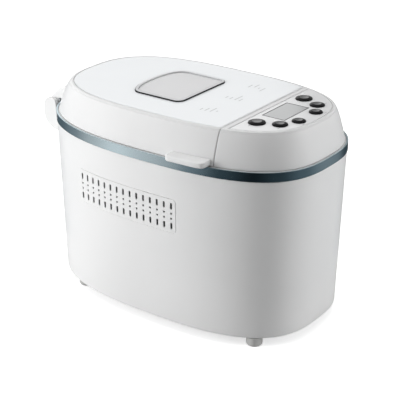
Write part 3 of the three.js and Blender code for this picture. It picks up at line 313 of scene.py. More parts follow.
def plug(radius: float, low: float, high: float, centre: tuple[float, float, float], axis: str,
         count: int) -> Patch:
    """A plain rod between two places along an axis through a point, used to cut a round hole."""
    return turned(np.array([[0, low], [radius, low], [radius, high], [0, high]]), centre, axis, count)


def block(x: tuple[float, float], y: tuple[float, float], z: tuple[float, float]) -> Patch:
    """A plain box, used to cut or to stand in a corner of another piece.

    Args:
        x: the lowest and highest X.
        y: the lowest and highest Y.
        z: the lowest and highest Z.

    Returns:
        The box.
    """
    xs, ys, zs = np.array(x), np.array(y), np.array(z)
    corner = np.array([[i, j, k] for k in (0, 1) for j in (0, 1) for i in (0, 1)])
    points = np.column_stack([xs[corner[:, 0]], ys[corner[:, 1]], zs[corner[:, 2]]])
    quads = np.array([[0, 2, 3, 1], [4, 5, 7, 6], [0, 1, 5, 4], [2, 6, 7, 3], [0, 4, 6, 2], [1, 3, 7, 5]])
    return points, quads


def extruded(outline: Points, axis: str, low: float, high: float, edge: float = 0.0, steps: int = 4) -> Patch:
    """A flat outline pushed along an axis, its rims drawn in over a quarter circle.

    Args:
        outline: rows of the two other axes, in the order x, y, z.
        axis: x, y or z.
        low: where the piece starts on the axis.
        high: where it ends.
        edge: the radius of the rims.
        steps: loops on each rim.

    Returns:
        The skin, open at its two ends, which Workshop.raw fills with one flat face each.
    """
    ahead, behind = np.roll(outline, -1, 0) - outline, outline - np.roll(outline, 1, 0)
    unit = lambda v: v / np.linalg.norm(v, axis=1, keepdims=True)
    run = unit(ahead) + unit(behind)
    run /= np.maximum(np.linalg.norm(run, axis=1, keepdims=True), 1e-9)
    area = 0.5 * np.sum(outline[:, 0] * np.roll(outline[:, 1], -1) - outline[:, 1] * np.roll(outline[:, 0], -1))
    inward = np.stack([-run[:, 1], run[:, 0]], axis=1) * np.sign(area)
    angle = np.linspace(0, np.pi / 2, steps) if edge else np.array([np.pi / 2])
    shrink = edge * (1 - np.sin(angle))
    level = edge * (1 - np.cos(angle))
    loops = [(low + b, s) for b, s in zip(level, shrink)]
    loops += [(high - b, s) for b, s in zip(level[::-1], shrink[::-1])]
    columns = {"x": (2, 0, 1), "y": (0, 2, 1), "z": (0, 1, 2)}[axis]
    rows = []
    for at, s in loops:
        flat = outline + inward * s
        rows.append(np.column_stack([flat, np.full(len(flat), at)])[:, columns])
    return stacked(rows, poles=(False, False))


# ------------------------------------------------------------------ finishes


class Grain(Enum):
    """The small surface pattern of a finish."""

    MOULDED = "fine orange peel of a moulding"
    BRUSHED = "hairlines along one axis"
    ROLLED = "faint streaks of rolled sheet"
    COATED = "speckled sprayed coat"
    PEBBLED = "dull pebbled rubber"
    HAZY = "wiped glass"
    TRACKED = "circuit board tracks"


@dataclass(frozen=True)
class Finish:
    """One material: its colour, gloss and grain.

    The colour is mottled by a slow noise, the gloss by a second one, and a fine noise or stretched
    noise is the bump. All of them read Object coordinates, so they sit on the piece.
    """

    name: str
    colour: tuple[float, float, float]
    rough: float
    grain: Grain = Grain.MOULDED
    metal: float = 0.0
    mottle: float = 0.03
    bump: float = 0.06
    coat: float = 0.0
    clear: float = 0.0
    shine: float = 0.5
    scale: tuple[float, float, float] = (1.0, 1.0, 1.0)

    FINE = {Grain.MOULDED: 700.0, Grain.BRUSHED: 500.0, Grain.ROLLED: 260.0, Grain.COATED: 1500.0,
            Grain.PEBBLED: 1300.0, Grain.HAZY: 40.0, Grain.TRACKED: 300.0}

    def make(self) -> bpy.types.Material:
        """Builds the material's nodes.

        Returns:
            The material.
        """
        material = bpy.data.materials.new(self.name)
        material.use_nodes = True
        tree = material.node_tree
        tree.nodes.clear()
        shader = tree.nodes.new("ShaderNodeBsdfPrincipled")
        out = tree.nodes.new("ShaderNodeOutputMaterial")
        tree.links.new(shader.outputs["BSDF"], out.inputs["Surface"])
        for socket, value in (("Metallic", self.metal), ("IOR", 1.48), ("Specular IOR Level", self.shine),
                              ("Coat Weight", self.coat), ("Coat Roughness", 0.08),
                              ("Transmission Weight", self.clear)):
            shader.inputs[socket].default_value = value
        place = tree.nodes.new("ShaderNodeTexCoord").outputs["Object"]
        slow = self._noise(tree, place, 9.0, (1.0, 1.0, 1.0), 2.0)
        fine = self._noise(tree, place, self.FINE[self.grain], self.scale, 3.0)
        shade = slow
        if self.grain in (Grain.COATED, Grain.TRACKED, Grain.BRUSHED, Grain.ROLLED):
            shade = self._mixed(tree, slow, fine)
        low = tuple(max(0.0, c * (1 - self.mottle)) for c in self.colour)
        high = tuple(min(1.0, c * (1 + self.mottle)) for c in self.colour)
        ramp = tree.nodes.new("ShaderNodeValToRGB")
        ramp.color_ramp.elements[0].position, ramp.color_ramp.elements[1].position = 0.3, 0.7
        ramp.color_ramp.elements[0].color = (*low, 1.0)
        ramp.color_ramp.elements[1].color = (*high, 1.0)
        tree.links.new(shade, ramp.inputs["Fac"])
        tree.links.new(ramp.outputs["Color"], shader.inputs["Base Color"])
        spread = tree.nodes.new("ShaderNodeMapRange")
        spread.inputs["To Min"].default_value = max(0.02, self.rough * 0.85)
        spread.inputs["To Max"].default_value = min(1.0, self.rough * 1.18)
        tree.links.new(self._noise(tree, place, 35.0, self.scale, 4.0), spread.inputs["Value"])
        tree.links.new(spread.outputs["Result"], shader.inputs["Roughness"])
        relief = tree.nodes.new("ShaderNodeBump")
        relief.inputs["Strength"].default_value = self.bump
        relief.inputs["Distance"].default_value = 0.0006
        tree.links.new(fine, relief.inputs["Height"])
        tree.links.new(relief.outputs["Normal"], shader.inputs["Normal"])
        return material

    @staticmethod
    def _noise(tree: bpy.types.NodeTree, place: bpy.types.NodeSocket, size: float,
               stretch: tuple[float, float, float], detail: float) -> bpy.types.NodeSocket:
        """A noise of the given size per metre, stretched along the axes.

        Args:
            tree: the node tree.
            place: the coordinates it reads.
            size: how many features in a metre.
            stretch: the scale along each axis.
            detail: how many finer layers it has.

        Returns:
            The noise, from 0 to 1.
        """
        mapping = tree.nodes.new("ShaderNodeMapping")
        mapping.inputs["Scale"].default_value = stretch
        noise = tree.nodes.new("ShaderNodeTexNoise")
        noise.inputs["Scale"].default_value = size
        noise.inputs["Detail"].default_value = detail
        tree.links.new(place, mapping.inputs["Vector"])
        tree.links.new(mapping.outputs["Vector"], noise.inputs["Vector"])
        return noise.outputs["Fac"]

    @staticmethod
    def _mixed(tree: bpy.types.NodeTree, first: bpy.types.NodeSocket,
               second: bpy.types.NodeSocket) -> bpy.types.NodeSocket:
        """The mean of two values.

        Args:
            tree: the node tree.
            first: one value.
            second: the other.

        Returns:
            Their mean.
        """
        mean = tree.nodes.new("ShaderNodeMix")
        mean.inputs["Factor"].default_value = 0.5
        tree.links.new(first, mean.inputs["A"])
        tree.links.new(second, mean.inputs["B"])
        return mean.outputs["Result"]


FINISHES = {f.name: f for f in (
    Finish("white_moulding", (0.82, 0.822, 0.822), 0.32, mottle=0.008, bump=0.02, coat=0.1),
    # the same white moulding made darker for the lid and control head: painted shade
    Finish("shaded_white_moulding", (0.775, 0.777, 0.778), 0.32, mottle=0.008, bump=0.02, coat=0.1),
    Finish("lid_panel_lacquer", (0.90, 0.925, 0.945), 0.24, mottle=0.006, bump=0.008, coat=0.5),
    Finish("control_panel_lacquer", (0.84, 0.845, 0.85), 0.26, metal=0.12, mottle=0.01, bump=0.01, coat=0.3),
    Finish("blue_steel", (0.50, 0.60, 0.64), 0.16, Grain.BRUSHED, metal=1.0, mottle=0.04, bump=0.03,
           scale=(1.0, 1.0, 30.0)),
    # a light grey that paints the reflection on the rounded top of the window's dark seal
    Finish("seal_reflection_grey", (0.62, 0.63, 0.64), 0.30, metal=0.0, mottle=0.02, bump=0.02),
    Finish("dark_gloss_seal", (0.010, 0.010, 0.011), 0.30, mottle=0.1, bump=0.02, shine=0.2),
    Finish("hazy_glass", (0.86, 0.86, 0.87), 0.14, Grain.HAZY, mottle=0.03, bump=0.01, clear=0.22),
    Finish("clear_glass", (0.85, 0.87, 0.87), 0.05, Grain.HAZY, mottle=0.01, bump=0.004, clear=0.9),
    Finish("grey_display_lens", (0.43, 0.44, 0.445), 0.14, Grain.HAZY, mottle=0.02, bump=0.004, coat=0.5),
    Finish("display_border", (0.05, 0.052, 0.055), 0.2, mottle=0.05, bump=0.01),
    Finish("gloss_black_cap", (0.005, 0.005, 0.006), 0.17, mottle=0.1, bump=0.01, shine=0.16),
    Finish("satin_black_face", (0.030, 0.031, 0.033), 0.30, mottle=0.08, bump=0.03, coat=0.6),
    Finish("printed_grey", (0.34, 0.35, 0.36), 0.45, mottle=0.05, bump=0.02),
    Finish("pale_foot_rubber", (0.56, 0.56, 0.55), 0.62, Grain.PEBBLED, mottle=0.04, bump=0.2),
    Finish("base_moulding", (0.22, 0.23, 0.24), 0.45, mottle=0.04, bump=0.1),
    Finish("oven_sheet", (0.55, 0.56, 0.57), 0.34, Grain.ROLLED, metal=1.0, mottle=0.06, bump=0.05,
           scale=(1.0, 1.0, 12.0)),
    Finish("liner_sheet", (0.60, 0.61, 0.62), 0.32, Grain.ROLLED, metal=1.0, mottle=0.05, bump=0.04,
           scale=(12.0, 1.0, 1.0)),
    Finish("bright_steel", (0.58, 0.585, 0.59), 0.22, Grain.ROLLED, metal=1.0, mottle=0.05, bump=0.03),
    Finish("zinc_plate", (0.50, 0.51, 0.50), 0.42, Grain.ROLLED, metal=1.0, mottle=0.09, bump=0.05),
    Finish("pan_coat", (0.030, 0.031, 0.034), 0.42, Grain.COATED, metal=0.15, mottle=0.35, bump=0.12),
    Finish("paddle_coat", (0.035, 0.036, 0.038), 0.38, Grain.COATED, metal=0.15, mottle=0.35, bump=0.10),
    Finish("heater_sheath", (0.24, 0.21, 0.19), 0.42, Grain.ROLLED, metal=1.0, mottle=0.18, bump=0.06),
    Finish("fired_ceramic", (0.72, 0.68, 0.58), 0.6, Grain.PEBBLED, mottle=0.04, bump=0.12),
    Finish("motor_can", (0.26, 0.27, 0.28), 0.36, Grain.BRUSHED, metal=1.0, mottle=0.08, bump=0.06,
           scale=(1.0, 1.0, 20.0)),
    Finish("pulley_moulding", (0.05, 0.05, 0.055), 0.42, mottle=0.08, bump=0.08),
    Finish("ribbed_belt_rubber", (0.015, 0.015, 0.016), 0.7, Grain.PEBBLED, mottle=0.1, bump=0.2),
    Finish("circuit_board", (0.02, 0.12, 0.06), 0.35, Grain.TRACKED, mottle=0.45, bump=0.05),
    Finish("red_silicone", (0.38, 0.10, 0.055), 0.55, Grain.PEBBLED, mottle=0.05, bump=0.1),
    Finish("black_moulding", (0.014, 0.014, 0.015), 0.34, mottle=0.1, bump=0.06),
)}


@dataclass
class Workshop:
    """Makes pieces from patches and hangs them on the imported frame."""

    frame: dict
    shift: float
    foot: float
    materials: dict[str, bpy.types.Material] = field(default_factory=dict)

    def material(self, name: str) -> bpy.types.Material:
        """The material of a finish, made when it is first asked for.

        Args:
            name: the finish's name.

        Returns:
            The material.
        """
        if name not in self.materials:
            self.materials[name] = FINISHES[name].make()
        return self.materials[name]

    def place(self, points: Points) -> Points:
        """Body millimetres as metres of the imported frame."""
        return (np.asarray(points, float) + (self.shift, 0.0, self.foot)) * MM

    def raw(self, name: str, patches: Sequence[Patch], fill: bool = True) -> bpy.types.Object:
        """One mesh in millimetres from patches: shared points merged, leftovers dropped, faces outward.

        Args:
            name: the object's name.
            patches: points in body millimetres, with their quads.
            fill: whether open ends get a flat face.

        Returns:
            The object, linked to the scene.
        """
        offset, points, faces = 0, [], []
        for at, quads in patches:
            points.append(at)
            faces.append(quads + offset)
            offset += len(at)
        mesh = bpy.data.meshes.new(name)
        mesh.from_pydata(np.vstack(points), [], np.vstack(faces))
        shape = bmesh.new()
        shape.from_mesh(mesh)
        bmesh.ops.remove_doubles(shape, verts=shape.verts, dist=2e-3)
        bmesh.ops.dissolve_degenerate(shape, edges=shape.edges, dist=1e-3)
        if fill:
            bmesh.ops.holes_fill(shape, edges=[e for e in shape.edges if e.is_boundary], sides=0)
        bmesh.ops.recalc_face_normals(shape, faces=shape.faces)
        shape.to_mesh(mesh)
        shape.free()
        piece = bpy.data.objects.new(name, mesh)
        bpy.context.scene.collection.objects.link(piece)
        return piece

    def combine(self, piece: bpy.types.Object, patches: Sequence[Patch], operation: str) -> None:
        """Cuts patches from a piece, or joins them to it, with an exact boolean.

        Args:
            piece: the piece to change.
            patches: closed skins, in body millimetres.
            operation: DIFFERENCE, UNION or INTERSECT.
        """
        tool = self.raw(piece.name + ".tool", patches)
        change = piece.modifiers.new("combine", "BOOLEAN")
        change.operation, change.solver, change.object = operation, "EXACT", tool
        change.use_self = len(patches) > 1
        self.settle(piece)
        bpy.data.objects.remove(tool)

    @staticmethod
    def settle(piece: bpy.types.Object) -> None:
        """Puts what the piece's modifiers make into its own mesh and drops them.

        Args:
            piece: the piece, whose modifiers are still live.
        """
        graph = bpy.context.evaluated_depsgraph_get()
        made = bpy.data.meshes.new_from_object(piece.evaluated_get(graph))
        piece.modifiers.clear()
        piece.data = made

    def soften(self, piece: bpy.types.Object, width: float, angle: float = 40.0, segments: int = 2) -> None:
        """Rounds edges sharper than an angle; width is in millimetres.

        Args:
            piece: the piece to change.
            width: the reach of the rounding.
            angle: edges turning more than this many degrees are rounded.
            segments: how many steps across the rounding.
        """
        edge = piece.modifiers.new("soften", "BEVEL")
        edge.width, edge.segments = width, segments
        edge.limit_method, edge.angle_limit = "ANGLE", math.radians(angle)
        edge.use_clamp_overlap = True
        self.settle(piece)

    def finish(self, piece: bpy.types.Object, body: str, slot: str, finish: str, nodes: Sequence[str] = (),
               sharp: float = 38.0) -> bpy.types.Object:
        """Takes a piece to the frame's metres, shades it, gives it its material and hangs it on its body.

        Args:
            piece: the piece, in place.
            body: the CAD body that it rides on.
            slot: the record's material slot; it is not used.
            finish: the finish's name.
            nodes: the CAD nodes that it stands for.
            sharp: edges turning more than this many degrees stay crisp.

        Returns:
            The piece.
        """
        mesh = piece.data
        points = np.empty(len(mesh.vertices) * 3)
        mesh.vertices.foreach_get("co", points)
        mesh.vertices.foreach_set("co", self.place(points.reshape(-1, 3)).ravel())
        mesh.polygons.foreach_set("use_smooth", np.ones(len(mesh.polygons), dtype=bool))
        mesh.set_sharp_from_angle(angle=math.radians(sharp))
        weigh = piece.modifiers.new("weigh", "WEIGHTED_NORMAL")
        weigh.keep_sharp = True
        self.settle(piece)
        if not piece.data.materials:
            piece.data.materials.append(self.material(finish))
        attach(piece, body)
        if nodes:
            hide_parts(*nodes)
        LOG.info("%s: %d faces on %s", piece.name, len(piece.data.polygons), body)
        return piece

    def piece(self, name: str, patches: Sequence[Patch], body: str, slot: str, finish: str,
              nodes: Sequence[str] = (), sharp: float = 38.0) -> bpy.types.Object:
        """A finished piece straight from patches; see raw and finish for the arguments."""
        return self.finish(self.raw(name, patches), body, slot, finish, nodes, sharp)

    def dress(self, finish: str, *nodes: str) -> None:
        """Gives carried-over CAD nodes a finish.

        Args:
            finish: the finish's name.
            nodes: the CAD nodes.
        """
        for node in nodes:
            piece = self.frame["nodes"][node]
            if not piece.material_slots:
                piece.data.materials.append(self.material(finish))
            for place in piece.material_slots:
                place.material = self.material(finish)
            LOG.info("%s: kept, in %s", node, finish)


# ------------------------------------------------------------------ the machine's outlines


@dataclass
class Outlines:
    """The ovals that the body, band, lid and control head follow, in plan.

    An oval is x = reach * |cos|^(2/p), y = side * |sin|^(2/p) with the cosine's and sine's signs,
    where the rear and the front half have their own reach and their own p.
    """

    length: float = 380.0
    width: float = 227.4
    height: float = 201.4
    end_taper: float = 6.2
    side_taper: float = 2.8
    rear_power: float = 2.43
    front_power: float = 2.85
    stand_out: float = 0.8
    band_height: float = 11.2
    head_gap: float = 0.4
    head_height: float = 41.1
    head_inset: float = 3.5
    rear_lean: float = 23.5
    front_lean: float = 11.5
    side_lean: float = 12.7
    top_rear_power: float = 2.8
    around: int = 224

    def __post_init__(self) -> None:
        """Works out the levels that follow from the sizes."""
        self.band_top = self.height + self.band_height
        self.head_bottom = self.band_top + self.head_gap
        self.top = self.head_bottom + self.head_height

    def _oval(self, angle: Points, rear: float, front: float, side: float, power: float) -> Points:
        """The oval's points at the given angles.

        Args:
            angle: the angles, in radians; 0 points to the front.
            rear: reach to the rear.
            front: reach to the front.
            side: half the width.
            power: squareness of the rear half.

        Returns:
            The points, one for each angle.
        """
        c, s = np.cos(angle), np.sin(angle)
        p = np.where(c > 0, self.front_power, power)
        x = np.where(c > 0, front, rear) * np.sign(c) * np.abs(c) ** (2 / p)
        return np.stack([x, side * np.sign(s) * np.abs(s) ** (2 / p)], axis=1)

    def _closed(self, rear: float, front: float, side: float, power: float, z: float) -> Points:
        """A whole oval at a height, its points evenly spaced."""
        dense = self._oval(np.linspace(0, 2 * np.pi, 6000, endpoint=False), rear, front, side, power)
        return raised(resampled(dense, self.around), z)

    def body(self, z: float, inset: float) -> Points:
        """The body wall at a height, moved in by inset; the walls lean in towards the bottom.

        Args:
            z: the height.
            inset: how far it is moved in.

        Returns:
            The loop.
        """
        low = 1 - z / self.height
        ends = self.length / 2 - self.stand_out - inset - self.end_taper * low
        side = self.width / 2 - self.stand_out - inset - self.side_taper * low
        return self._closed(ends, ends, side, self.rear_power, z)

    def half_width(self, x: Points, z: Points, inset: float) -> Points:
        """Half the body's width at x and a height: the oval solved for y.

        Args:
            x: places along the length.
            z: their heights.
            inset: how far the wall is moved in.

        Returns:
            Half the width at each place.
        """
        low = 1 - z / self.height
        reach = self.length / 2 - self.stand_out - inset - self.end_taper * low
        side = self.width / 2 - self.stand_out - inset - self.side_taper * low
        power = np.where(x > 0, self.front_power, self.rear_power)
        return side * np.maximum(1 - np.abs(x / reach) ** power, 1e-6) ** (1 / power)

    def band(self, z: float, inset: float) -> Points:
        """The trim band's outline at a height, moved in by inset."""
        ends = self.length / 2 - inset
        return self._closed(ends, ends, self.width / 2 - inset, self.rear_power, z)

    def _head_sizes(self, z: float, inset: float) -> tuple[float, float, float, float]:
        """Rear reach, front reach, half width and rear power of the lid and head at a height.

        The walls lean in by three quarters of the rise plus a quarter of its cube.

        Args:
            z: the height.
            inset: how far the walls are moved in.

        Returns:
            Rear reach, front reach, half width and rear power.
        """
        rise = (z - self.head_bottom) / self.head_height
        lean = 0.75 * rise + 0.25 * rise**3
        reach = self.length / 2 - self.head_inset - inset
        side = self.width / 2 - self.head_inset - inset - self.side_lean * lean
        power = self.rear_power + (self.top_rear_power - self.rear_power) * lean
        return reach - self.rear_lean * lean, reach - self.front_lean * lean, side, power

    def head(self, z: float, inset: float, seam: float, keep: End, level: float | None = None,
             corner: float = 1.2) -> Points:
        """The part of the lid's oval on one side of the seam, closed by a straight side along it.

        Args:
            z: the height whose oval is used.
            inset: how far it is moved in.
            seam: where the straight side stands.
            keep: which part is kept.
            level: the height the loop is put at, if not z.
            corner: the reach of the corner blends.

        Returns:
            The loop.
        """
        rear, front, side, power = self._head_sizes(z, inset)
        edge = math.acos((seam / front) ** (self.front_power / 2))
        span = (edge, 2 * math.pi - edge) if keep is End.REAR else (-edge, edge)
        dense = self._oval(np.linspace(*span, 5000), rear, front, side, power)
        arc = resampled(dense, 170 if keep is End.REAR else 110, closed=False, trim=corner)
        straight = resampled(dense[[-1, 0]], 26, closed=False, trim=corner)
        first = blended(arc[-1], dense[-1], straight[0], 6)[1:-1]
        second = blended(straight[-1], dense[0], arc[0], 6)[1:-1]
        return raised(np.vstack([arc, first, straight, second]), z if level is None else level)


@dataclass
class WindowOutline:
    """The window's outline in plan: straight at the front, with round corners, and bowed at the rear."""

    rear: float = -67.5
    front: float = 13.5
    width: float = 98.0
    corner: float = 10.0
    start: float = 20.5
    lead: float = 5.5
    swell: float = 0.57

    def loop(self, grow: float, z: float, count: int = 160) -> Points:
        """The outline grown by a margin: two arcs and two cubic curves, evenly spaced.

        Args:
            grow: the margin.
            z: the height.
            count: how many points.

        Returns:
            The loop.
        """
        front, rear, side, r = self.front + grow, self.rear - grow, self.width / 2 + grow, self.corner + grow
        quarter = np.linspace(0, np.pi / 2, 60)
        right = np.stack([front - r + r * np.cos(quarter), side - r + r * np.sin(quarter)], axis=1)
        t = np.linspace(0, 1, 200)[:, None]
        points = np.array([[rear + self.start, side], [rear + self.lead, side],
                           [rear, self.swell * side], [rear, 0]])
        curve = ((1 - t) ** 3 * points[0] + 3 * t * (1 - t) ** 2 * points[1]
                 + 3 * t**2 * (1 - t) * points[2] + t**3 * points[3])
        half = np.vstack([right, curve])
        whole = np.vstack([half, half[::-1] * (1, -1)])
        return raised(resampled(whole, count), z)

    def facing(self, outer: Points, grow: float, z: float) -> Points:
        """The outline's points in the same directions from the window's middle as an outer loop's.

        Args:
            outer: the loop whose directions are used.
            grow: the margin round the window.
            z: the height.

        Returns:
            The loop, point for point with the outer one.
        """
        middle = np.array([(self.rear + self.front) / 2, 0.0])
        return seen_from(middle, outer, self.loop(grow, z, 4000)[:, :2], z)


# ------------------------------------------------------------------ sub-assemblies


@dataclass
class Housing:
    """The body shell, its louvre plates, cord inlet, base and feet."""

    shop: Workshop
    outline: Outlines
    wall: float = 2.5
    edge: float = 1.6
    gap: float = 0.3
    vent_first: float = -94.5
    vent_pitch: float = 10.1
    vent_columns: int = 15
    vent_middle: float = 141.1
    slot_offset: float = 12.6
    hole_offset: float = 3.3
    slot_half: tuple[float, float] = (1.45, 4.15)
    hole_half: tuple[float, float] = (1.25, 1.25)
    plate_border: float = 4.6
    plate_corner: float = 4.0
    plate_thickness: float = 1.0
    gland_at: tuple[float, float] = (84.0, 20.0)
    foot_radius: float = 10.0

    def build(self) -> None:
        """Builds every piece of the housing."""
        self.shell()
        for side in (-1, 1):
            self.louvres(side)
            # a black sheet of painted shade behind each louvre plate
            self.shade_sheet(side)
        self.gland()
        self.feet()
        self.shop.dress("base_moulding", "base_plate")

    def _plate_loop(self, grow: float, count: int) -> Points:
        """The louvre plate's rounded outline in x and z.

        Args:
            grow: the margin round the plate.
            count: how many points.

        Returns:
            The loop.
        """
        reach = self.slot_offset + self.slot_half[1] + self.plate_border + grow
        last = self.vent_first + self.vent_pitch * (self.vent_columns - 1)
        low = self.vent_first - self.slot_half[0] - self.plate_border - grow
        high = last + self.slot_half[0] + self.plate_border + grow
        half, middle = (high - low) / 2, (high + low) / 2
        loop = tray_loop(middle, half, reach, self.plate_corner + grow, 0.0)[:, :2]
        return resampled(loop, count) + (0.0, self.vent_middle)

    def shell(self) -> None:
        """The moulded shell: wall outside, rounded bottom edge, wall inside, closed on itself."""
        out, top = self.outline, self.outline.height - self.gap
        turn = np.linspace(0, np.pi / 2, 7)
        loops = [out.body(self.edge * (1 - math.cos(a)), self.edge * (1 - math.sin(a))) for a in turn]
        loops += [out.body(z, 0.0) for z in np.linspace(self.edge, top - 0.5, 14)[1:]]
        loops += [out.body(top, 0.5), out.body(top, self.wall)]
        loops += [out.body(z, self.wall) for z in np.linspace(top, 0.0, 8)[1:]]
        shell = self.shop.raw("body_shell", [stacked(loops, closed=True)])
        for side in (-1, 1):
            low, high = sorted((side * 60.0, side * 130.0))
            self.shop.combine(shell, [extruded(self._plate_loop(self.gap, 96), "y", low, high)], "DIFFERENCE")
        x, z = self.gland_at
        y = float(self.outline.half_width(np.array(x), np.array(z), 0.0))
        bore = plug(5.3, -15.0, 15.0, (x, y, z), "y", 32)
        self.shop.combine(shell, [bore], "DIFFERENCE")
        self.shop.finish(shell, "housing", "body_white", "white_moulding", ["outer_body"])

    def _cell(self, cx: float, z_low: float, z_high: float, hole_z: float, half: tuple[float, float],
              count: int = 8) -> Points:
        """A louvre cell as loops from its rectangle in to its round-cornered hole, in x and z.

        Args:
            cx: the column's place along X.
            z_low: the cell's lower edge.
            z_high: the cell's upper edge.
            hole_z: the height of the hole.
            half: half the hole along X and Z.
            count: points along each side.

        Returns:
            Four loops, outside to inside.
        """
        w = self.vent_pitch / 2
        corners = np.array([[cx + w, z_low], [cx + w, z_high], [cx - w, z_high], [cx - w, z_low]])
        t = np.linspace(0, 1, count, endpoint=False)[:, None]
        outer = np.vstack([a + (b - a) * t for a, b in zip(corners, np.roll(corners, -1, 0))])
        corner = min(half) * (0.98 if half[0] != half[1] else 0.45)
        ring = tray_loop(cx, half[0], half[1], corner, 0.0, 9)[:, :2] + (0.0, hole_z)
        quarter = len(ring) // 4
        start = 3 * quarter + quarter // 2
        ring = np.roll(ring, -start, 0)
        inner = []
        for k in range(4):
            part = np.vstack([ring, ring[:1]])[k * quarter:(k + 1) * quarter + 1]
            inner.append(resampled(part, count + 1, closed=False)[:-1])
        inner = np.vstack(inner)
        return np.stack([outer + (inner - outer) * f for f in (0.0, 0.5, 0.85, 1.0)])

    def louvres(self, side: int) -> None:
        """One louvre plate: cells with holes, a rounded border, bent onto the body wall and thickened.

        Args:
            side: -1 or 1, the side it is on.
        """
        reach, patches = 18.0, []
        split = (self.slot_offset - self.slot_half[1] + self.hole_offset + self.hole_half[1]) / 2
        slot, hole = self.slot_offset, self.hole_offset
        rows = [(-reach, -split, -slot, self.slot_half), (-split, 0.0, -hole, self.hole_half),
                (0.0, split, hole, self.hole_half), (split, reach, slot, self.slot_half)]
        middle = self.vent_middle
        for column in range(self.vent_columns):
            cx = self.vent_first + self.vent_pitch * column
            for low, high, at, half in rows:
                patches.append(self._cell(cx, middle + low, middle + high, middle + at, half))
        skins = [self._bent(loops, side) for loops in patches]
        skins.append(self._bent(self._border(rows, 8), side))
        name = "louvre_plate_left" if side < 0 else "louvre_plate_right"
        plate = self.shop.raw(name, skins, fill=False)
        self._face_outward(plate, side)
        wall = plate.modifiers.new("wall", "SOLIDIFY")
        wall.thickness, wall.offset = self.plate_thickness, -1.0
        self.shop.settle(plate)
        node = "vent_grille_left" if side < 0 else "vent_grille_right"
        self.shop.finish(plate, "housing", "body_white", "white_moulding", [node])

    def shade_sheet(self, side: int) -> None:
        """A black sheet in the wall's opening, behind a louvre plate: painted shade, standing in for the dark inside
        that the holes show.

        Args:
            side: -1 or 1.
        """
        outline = self._plate_loop(0.0, 120)
        middle = outline.mean(0)
        loops = []
        for depth, scale in ((0.9, 1.0), (0.9, 0.66), (0.9, 0.33), (1.9, 0.33), (1.9, 0.66), (1.9, 1.0)):
            flat = middle + (outline - middle) * scale
            y = side * self.outline.half_width(flat[:, 0], flat[:, 1], depth)
            loops.append(np.column_stack([flat[:, 0], y, flat[:, 1]]))
        poles = [grid(np.stack([np.broadcast_to(loops[k].mean(0), loops[k].shape), loops[k]])) for k in (2, 3)]
        skin = [grid(np.stack(part)) for part in (loops[:3], loops[3:], [loops[5], loops[0]])] + poles
        # the black finish here is painted shade for the dark inside behind the louvre holes
        self.shop.piece("louvre_shade_sheet_left" if side < 0 else "louvre_shade_sheet_right", skin, "housing",
                        "dark_plastic", "black_moulding")

    def _border(self, rows: Sequence[tuple], count: int) -> Points:
        """The plate's border as loops from the block of cells out to the rounded outline.

        Args:
            rows: the rows of cells, each with its lower edge first and its upper edge second.
            count: points along each cell.

        Returns:
            Three loops, inside to outside.
        """
        w, t = self.vent_pitch / 2, np.linspace(0, 1, count, endpoint=False)
        left = self.vent_first - w
        right = left + self.vent_pitch * self.vent_columns
        levels = [self.vent_middle + r[0] for r in rows] + [self.vent_middle + rows[-1][1]]
        up = np.concatenate([a + (b - a) * t for a, b in zip(levels, levels[1:])])
        along = (left + (np.arange(self.vent_columns)[:, None] + t[None, :]) * self.vent_pitch).ravel()
        low, high = levels[0], levels[-1]
        block_loop = np.vstack([np.column_stack([np.full(len(up), right), up]),
                                np.column_stack([(left + right) - along, np.full(len(along), high)]),
                                np.column_stack([np.full(len(up), left), (low + high) - up]),
                                np.column_stack([along, np.full(len(along), low)])])
        outer = self._plate_loop(0.0, 4000)
        centre = np.array([(left + right) / 2, (low + high) / 2])
        shape = (right - left) / (high - low)
        turn = lambda p: np.arctan2((p[:, 1] - centre[1]) * shape, p[:, 0] - centre[0]) % (2 * np.pi)
        angle = turn(outer)
        order = np.argsort(angle)
        look = turn(block_loop)
        x = np.interp(look, angle[order], outer[order, 0], period=2 * np.pi)
        z = np.interp(look, angle[order], outer[order, 1], period=2 * np.pi)
        edge = np.column_stack([x, z])
        return np.stack([block_loop + (edge - block_loop) * f for f in (0.0, 0.5, 1.0)])

    def _bent(self, loops: Points, side: int) -> Patch:
        """Loops of x and z laid on the body wall, a little proud of it.

        Args:
            loops: places in x and z.
            side: -1 or 1.

        Returns:
            The skin.
        """
        x, z = loops[..., 0], loops[..., 1]
        y = side * (self.outline.half_width(x, z, 0.0) + self.gap)
        return grid(np.stack([x, y, z], axis=-1))

    @staticmethod
    def _face_outward(plate: bpy.types.Object, side: int) -> None:
        """Turns an open plate's faces to the outside, where y has the side's sign.

        Args:
            plate: the open plate.
            side: -1 or 1.
        """
        faces = plate.data.polygons
        normals, areas = np.empty(len(faces) * 3), np.empty(len(faces))
        faces.foreach_get("normal", normals)
        faces.foreach_get("area", areas)
        if side * (normals[1::3] @ areas) < 0:
            plate.data.flip_normals()

    def gland(self) -> None:
        """The empty cord inlet: a flanged collar through the wall with a nut behind it."""
        x, z = self.gland_at
        near = np.array([x - 0.5, x + 0.5])
        y = self.outline.half_width(near, np.full(2, z), self.wall)
        profile = rounded([[3.5, -6], [7.5, -6], [7.5, -0.5], [5.0, -0.5], [5.0, 3.1], [8, 3.1], [7, 6.1],
                           [3.5, 6.1]], 0.6, 4, closed=True)
        points, quads = turned(profile, (0, 0, 0), "y", 40, closed=True)
        turn = math.atan2(y[0] - y[1], 1.0)
        c, s = math.cos(turn), math.sin(turn)
        px, py, pz = points.T
        bent = np.column_stack([px * c + py * s, py * c - px * s, pz])
        self.shop.piece("cord_inlet", [(bent + (x, float(y.mean()), z), quads)], "housing", "dark_plastic",
                        "black_moulding", ["cord_gland"])

